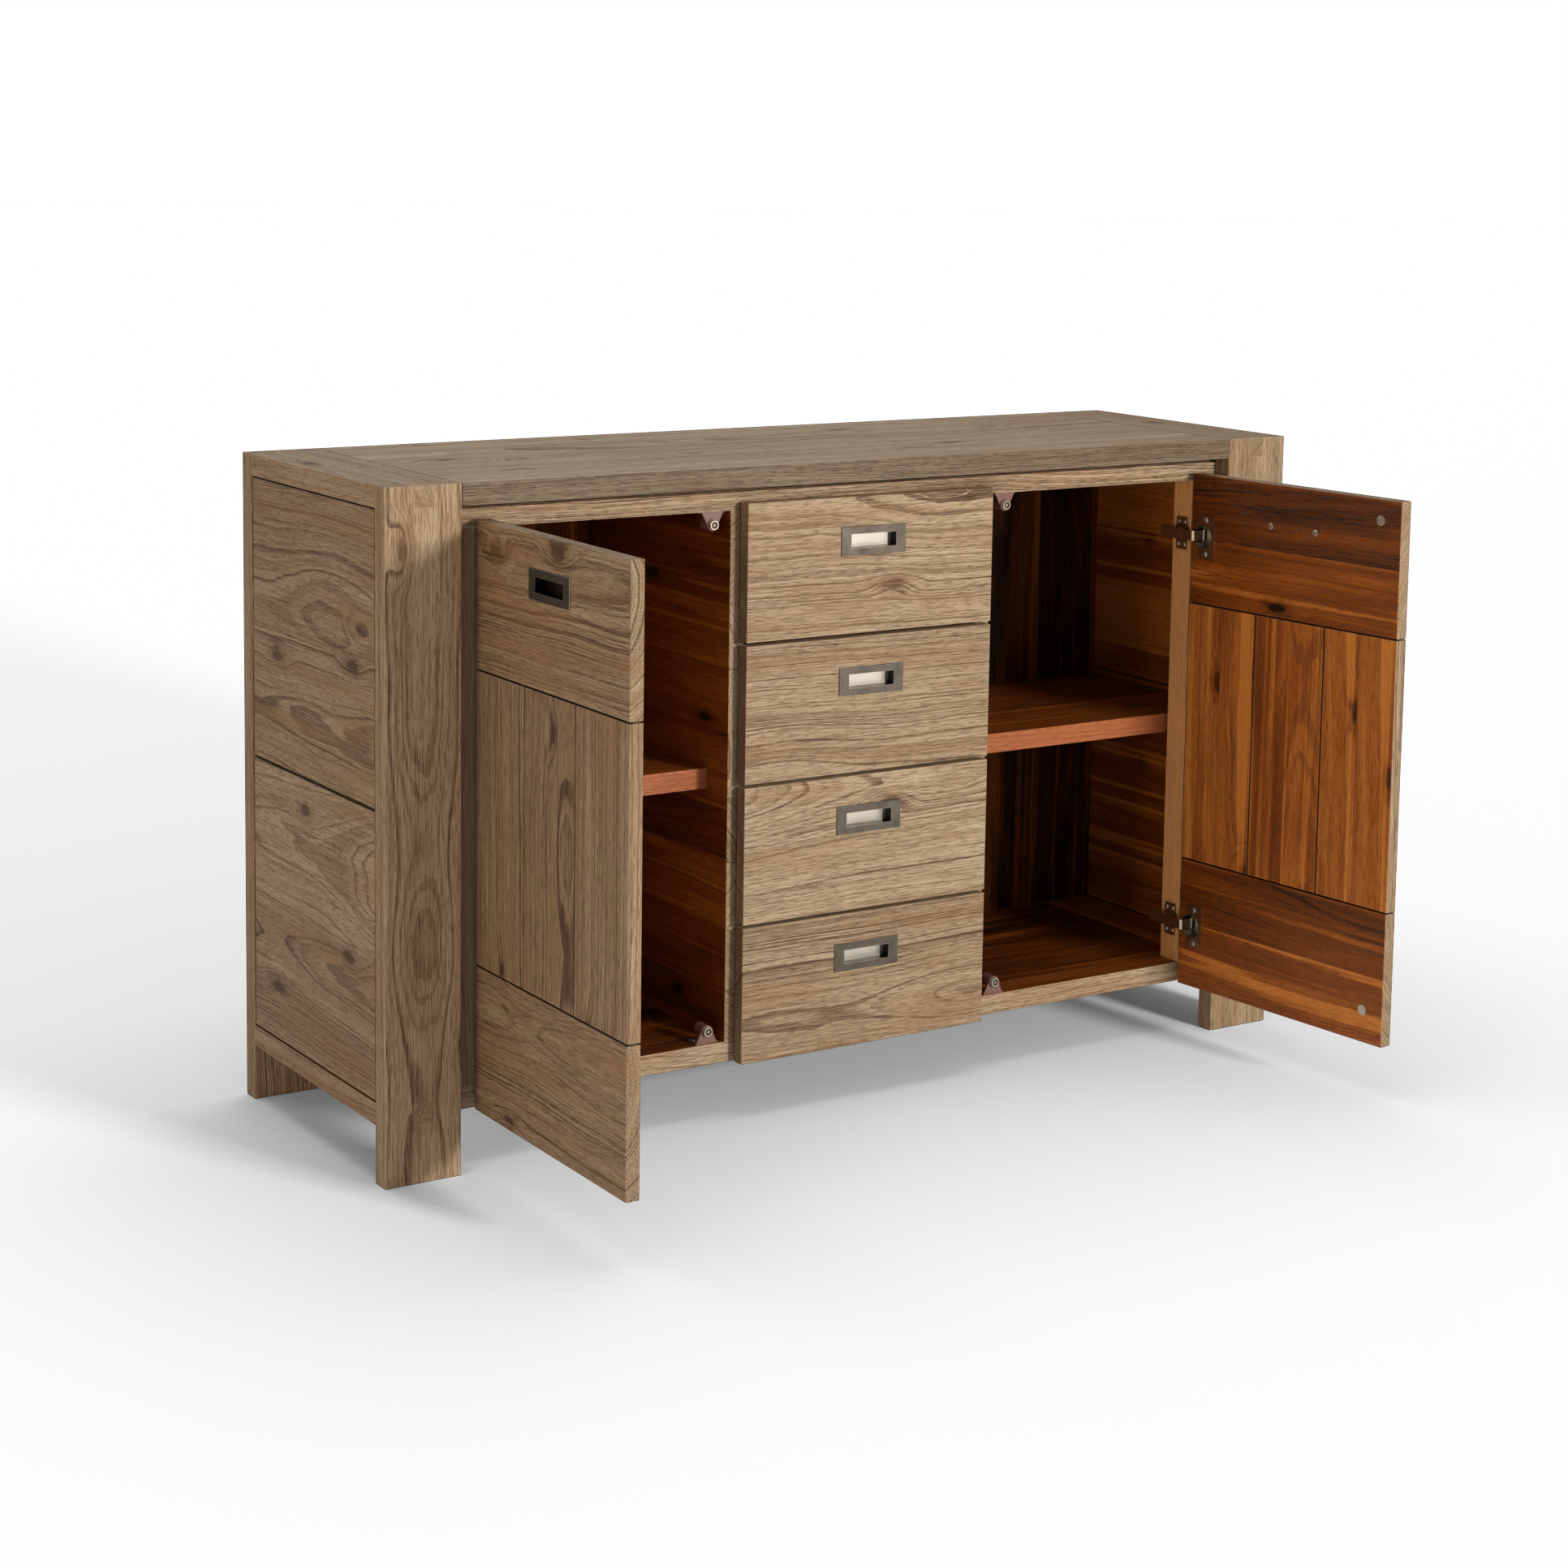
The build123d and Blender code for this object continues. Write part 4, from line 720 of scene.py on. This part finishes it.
class SIDEBOARD_OT_carcass(bpy.types.Operator):
    """Finish the posts, rails, side panels, top, back and shelves"""

    bl_idname = "sideboard.carcass"
    bl_label = "Carcass boards"

    def execute(self, context):
        top_ends = (("X", -POST_MM), ("X", POST_MM))
        # the grooves round the side panels are drawn as dark seams, painted shade inside them
        panel_edges = (("Y", -182.5), ("Y", 182.5), ("Z", 101.0), ("Z", 459.0), ("Z", 822.0))
        cuts = {
            # painted light: the top is lightened for the light that falls on it from above
            "top_planks": Cut("X", "Y", DEPTH_MM / 4, -DEPTH_MM / 2, (0, 0, -1), shade=-0.06, glue=0.6,
                              seams=top_ends, seam_mm=0.7),
            # painted shadow: the dark seam at 819.5 mm is the shadow in the groove under the top
            "front_rail_top": Cut("X", "Z", 60.0, 780.0, FRONT, True, shade=0.04, inner_shade=0.2,
                                  seams=(("Z", 819.5),), seam_mm=2.6),
            "front_rail_bottom": Cut("X", "Z", 60.0, 60.0, FRONT, True, shade=-0.08, inner_shade=0.2),
            # painted shade: the floor boards inside are darkened for the shade in the cupboards
            "floor_boards": Cut("X", "Y", 82.0, -144.5, (0, 0, 1), glue=0.7, inner_shade=0.46,
                                gloss=0.2),
            # painted shade: the back boards are darkened for the shade in the cupboards
            "back_boards": Cut("Z", "X", 1355.0 / 12, -677.5, FRONT, inner_shade=0.4, shade=0.05,
                               gloss=0.1),
            "rear_rails": Cut("X", "Z", 600.0, 0.0, FRONT, shade=0.1),
        }
        for side, sign in SIDES.items():
            left = min(sign * SIDE_MM, sign * POST_MM)
            cuts["front_post_" + side] = Cut("Z", "X", POST_WIDTH_MM, left, BACK, shade=0.05)
            cuts["rear_post_" + side] = Cut("Z", "X", POST_WIDTH_MM, left, shade=0.05)
            cuts["top_end_board_" + side] = Cut("Y", "X", POST_WIDTH_MM, left, (0, 0, -1), strength=0.7,
                                                seams=top_ends, seam_mm=0.7)
            cuts["lower_side_rail_" + side] = Cut("Y", "X", POST_WIDTH_MM, left, (0, 0, 1), shade=0.04,
                                                  strength=0.8)
            # painted shade and light: the washed outside of the side panels is darkened and their
            # lacquered inside lightened, for how the light falls on them
            cuts["side_panel_" + side] = Cut("Y", "Z", 180.0, 99.0, (-sign, 0, 0), shade=0.1,
                                             inner_width=STRIP_MM, inner_shade=-0.25, glue=0.3, sap=0.8,
                                             seams=panel_edges, seam_mm=1.0)
            # painted light: the stiles' lacquer is lightened and their inner sides take the pale
            # colour, for the light that falls on them
            cuts["stile_" + side] = Cut("Z", "X", 62.0, min(sign * 554.5, sign * 616.5), FRONT, True,
                                        inner_shade=-0.42, strength=0.6, bright=(-sign, 0, 0),
                                        bright_in="sapwood")
            cuts["divider_" + side] = Cut("Y", "Z", STRIP_MM, 0.0, FRONT, True, glue=0.4,
                                          inner_shade=0.08)
            cuts["shelf_" + side] = Cut("X", "Y", 67.0, -140.0, (0, 0, 0), True, glue=0.6,
                                        inner_shade=0.1, strength=0.7, bright=FRONT)
        finish_boards(cuts)
        return {"FINISHED"}


class SIDEBOARD_OT_doors(bpy.types.Operator):
    """Finish the boards of both doors"""

    bl_idname = "sideboard.doors"
    bl_label = "Door boards"

    def execute(self, context):
        cuts = {}
        for side, sign in SIDES.items():
            first = min(sign * edge for edge in DOOR_EDGES_MM)
            name = "door_" + side + "_"
            painted_darker = DOOR_PAINTED_SHADE[side]
            levels = tuple(("Z", level) for level in DOOR_JOINTS_MM)
            uprights = tuple(("X", first + PLANK_MM * i) for i in (1, 2))
            # painted shade: the washed outside darkens towards the bottom board, and the top and bottom
            # boards are darker than the planks inside
            cuts[name + "top_board"] = Cut("X", "Z", DOOR_BOARD_MM, DOOR_JOINTS_MM[1], BACK, door=side,
                                           inner_width=DOOR_BOARD_MM / 2,
                                           shade=0.04 + painted_darker, inner_shade=0.12, seams=levels,
                                           seam_mm=0.9)
            cuts[name + "bottom_board"] = Cut("X", "Z", DOOR_BOARD_MM, DOOR_FOOT_MM, BACK, door=side,
                                              inner_width=DOOR_BOARD_MM / 2,
                                              shade=0.12 + painted_darker, inner_shade=0.12, seams=levels,
                                              seam_mm=0.9)
            cuts[name + "planks"] = Cut("Z", "X", PLANK_MM, first, BACK, door=side,
                                        inner_width=PLANK_MM / 2,
                                        shade=0.08 + painted_darker, seams=levels + uprights,
                                        seam_mm=0.9)
        finish_boards(cuts)
        return {"FINISHED"}


class SIDEBOARD_OT_drawers(bpy.types.Operator):
    """Finish the fronts and boxes of the drawers"""

    bl_idname = "sideboard.drawers"
    bl_label = "Drawers"

    def execute(self, context):
        cuts = {}
        for number in range(1, 5):
            name = "drawer_%d_" % number
            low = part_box(name + "front")[0].z / MM
            cuts[name + "front"] = Cut("X", "Z", 190.0, low - 5.0, BACK)
            cuts[name + "box"] = Cut("Y", "Z", 140.0, low, (0, 0, 0), True)
        finish_boards(cuts)
        return {"FINISHED"}


class SIDEBOARD_OT_metalwork(bpy.types.Operator):
    """Finish the pulls, hinges, catches, runners and screws"""

    bl_idname = "sideboard.metalwork"
    bl_label = "Pulls, hinges and catches"

    def execute(self, context):
        look = context.scene.sideboard_metal
        nickel = plated_steel("Nickel plated steel", tuple(look.nickel), 0.26, 1.2)
        zinc = plated_steel("Zinc plated steel", tuple(look.zinc), 0.38, 1.6)
        plastic = moulded_plastic()
        finishes = {"nickel_steel": nickel, "zinc_steel": zinc, "brown_plastic": plastic}
        drawer_pull = pull_plating("Pewter and nickel plated zinc", look.cup)
        for number in range(1, 5):
            dress("drawer_%d_pull" % number, drawer_pull)
        # the door pulls' cup backs take a dark colour as painted shade
        for side in SIDES:
            name = "Pewter plated zinc, %s door" % side
            dress("door_%s_pull" % side, pull_plating(name, look.door_cup, side))
        for part in RECORD["subparts"]:
            if part["material_slot"] in finishes:
                dress(part["node"], finishes[part["material_slot"]])
        dress("catch_magnets", magnet_can())
        return {"FINISHED"}


# ------------------------------------------------------------------ studio
CAMERA_AT = (-2.2106, -3.4218, 1.2798)
CAMERA_YAW = 32.792          # degrees from looking straight at the front
CAMERA_DOWN = 7.023
CAMERA_ROLL = 0.852
FLOOR_RADIUS = 40.0
LAMPS_AIM = (0.0, 0.0, 0.42)                # the middle of the cabinet
KEY = ((1.35, -5.2, 1.6), 0.7)              # where each soft box stands, and its side
FILL = ((-4.8, -2.2, 0.9), 1.6)
TOP = ((0.0, 0.4, 3.3), 3.0)
RISE = -0.1832               # a rising front, so that uprights stay nearly parallel


def matt_floor_paint():
    """Matt emulsion over smooth board: pale, even, with the faint tooth that a roller leaves."""
    look = bpy.context.scene.sideboard_studio
    material = blank_material("Matt floor paint")
    tree = material.node_tree
    spot = add(tree, "ShaderNodeTexCoord")
    tooth = add(tree, NOISE, {"Vector": spot.outputs["Object"], "Scale": 1000 / 6.0, "Detail": 2.0})
    relief = add(tree, "ShaderNodeBump", {"Strength": 0.1, "Distance": 0.1 * MM, "Height": tooth})
    shader = add(tree, "ShaderNodeBsdfPrincipled",
                 {"Base Color": (*look.floor, 1), "Roughness": 0.85, "Normal": relief})
    add(tree, "ShaderNodeOutputMaterial", {"Surface": shader})
    return material


def soft_box(name, place, size, power, colour):
    """A square studio lamp at place, turned towards the cabinet."""
    lamp = bpy.data.lights.new(name, "AREA")
    lamp.shape = "SQUARE"
    lamp.size = size
    lamp.energy = power
    lamp.color = colour
    holder = bpy.data.objects.new(name, lamp)
    holder.location = place
    holder.rotation_mode = "QUATERNION"
    holder.rotation_quaternion = (Vector(LAMPS_AIM) - Vector(place)).to_track_quat("-Z", "Y")
    bpy.context.scene.collection.objects.link(holder)


class SIDEBOARD_OT_stage(bpy.types.Operator):
    """Set the floor, the soft lights and the camera"""

    bl_idname = "sideboard.stage"
    bl_label = "Studio"

    def execute(self, context):
        look = context.scene.sideboard_studio
        mesh = bpy.data.meshes.new("studio_floor")
        shape = bmesh.new()
        bmesh.ops.create_circle(shape, cap_ends=True, segments=96, radius=FLOOR_RADIUS)
        shape.to_mesh(mesh)
        shape.free()
        floor = bpy.data.objects.new("studio_floor", mesh)
        floor.location = (0, 0, -0.0005)
        floor.data.materials.append(matt_floor_paint())
        context.scene.collection.objects.link(floor)
        floor.is_shadow_catcher = True

        # a white backdrop that itself gives only the even part of the light
        world = bpy.data.worlds.new("White studio")
        world.use_nodes = True
        tree = world.node_tree
        tree.nodes.clear()
        path = add(tree, "ShaderNodeLightPath")
        strength = add(tree, MIX, {"Factor": path.outputs["Is Camera Ray"], 2: look.sky, 3: 1.0},
                       data_type="FLOAT")
        background = add(tree, "ShaderNodeBackground", {"Color": (1, 1, 1, 1), "Strength": strength})
        add(tree, "ShaderNodeOutputWorld", {"Surface": background})
        context.scene.world = world
        soft_box("key_soft_box", *KEY, look.key, linear("#FFF6EA"))
        soft_box("fill_soft_box", *FILL, look.fill, linear("#FFDDB5"))
        soft_box("top_soft_box", *TOP, look.top, linear("#FFFFFF"))

        camera = bpy.data.cameras.new("camera")
        camera.sensor_width = 36.0
        camera.lens = look.lens
        camera.shift_y = RISE
        camera.clip_end = 200.0
        holder = bpy.data.objects.new("camera", camera)
        yaw, down, roll = (math.radians(v) for v in (CAMERA_YAW, CAMERA_DOWN, CAMERA_ROLL))
        ahead = Vector((math.sin(yaw) * math.cos(down), math.cos(yaw) * math.cos(down),
                        -math.sin(down)))
        right = Vector((math.cos(yaw), -math.sin(yaw), 0.0))
        up = right.cross(ahead)
        tilted_right = math.cos(roll) * right + math.sin(roll) * up
        tilted_up = math.cos(roll) * up - math.sin(roll) * right
        turn = Matrix((tilted_right, tilted_up, -ahead)).transposed()
        holder.matrix_world = Matrix.Translation(CAMERA_AT) @ turn.to_4x4()
        context.scene.collection.objects.link(holder)
        context.scene.camera = holder
        context.scene.view_settings.view_transform = "Standard"
        return {"FINISHED"}


# ------------------------------------------------------------------ panel and registration
class SIDEBOARD_PT_panel(bpy.types.Panel):
    """Lists the operators of the sideboard and their settings"""

    bl_label = "Sideboard"
    bl_idname = "SIDEBOARD_PT_panel"
    bl_space_type = "VIEW_3D"
    bl_region_type = "UI"
    bl_category = "Sideboard"

    def draw(self, context):
        layout = self.layout
        for operator in OPERATORS:
            layout.operator(operator.bl_idname)
        for settings in (context.scene.sideboard_wood, context.scene.sideboard_metal,
                         context.scene.sideboard_studio):
            box = layout.box()
            for name in settings.__annotations__:
                box.prop(settings, name)


OPERATORS = (SIDEBOARD_OT_carcass, SIDEBOARD_OT_doors, SIDEBOARD_OT_drawers, SIDEBOARD_OT_metalwork,
             SIDEBOARD_OT_stage)
CLASSES = (WoodSettings, MetalSettings, StudioSettings, *OPERATORS, SIDEBOARD_PT_panel)


def register():
    for item in CLASSES:
        bpy.utils.register_class(item)
    bpy.types.Scene.sideboard_wood = PointerProperty(type=WoodSettings)
    bpy.types.Scene.sideboard_metal = PointerProperty(type=MetalSettings)
    bpy.types.Scene.sideboard_studio = PointerProperty(type=StudioSettings)


def unregister():
    del bpy.types.Scene.sideboard_studio
    del bpy.types.Scene.sideboard_metal
    del bpy.types.Scene.sideboard_wood
    for item in reversed(CLASSES):
        bpy.utils.unregister_class(item)


def main():
    register()
    bpy.ops.sideboard.carcass()
    bpy.ops.sideboard.doors()
    bpy.ops.sideboard.drawers()
    bpy.ops.sideboard.metalwork()
    bpy.ops.sideboard.stage()


if __name__ == "__main__":
    main()
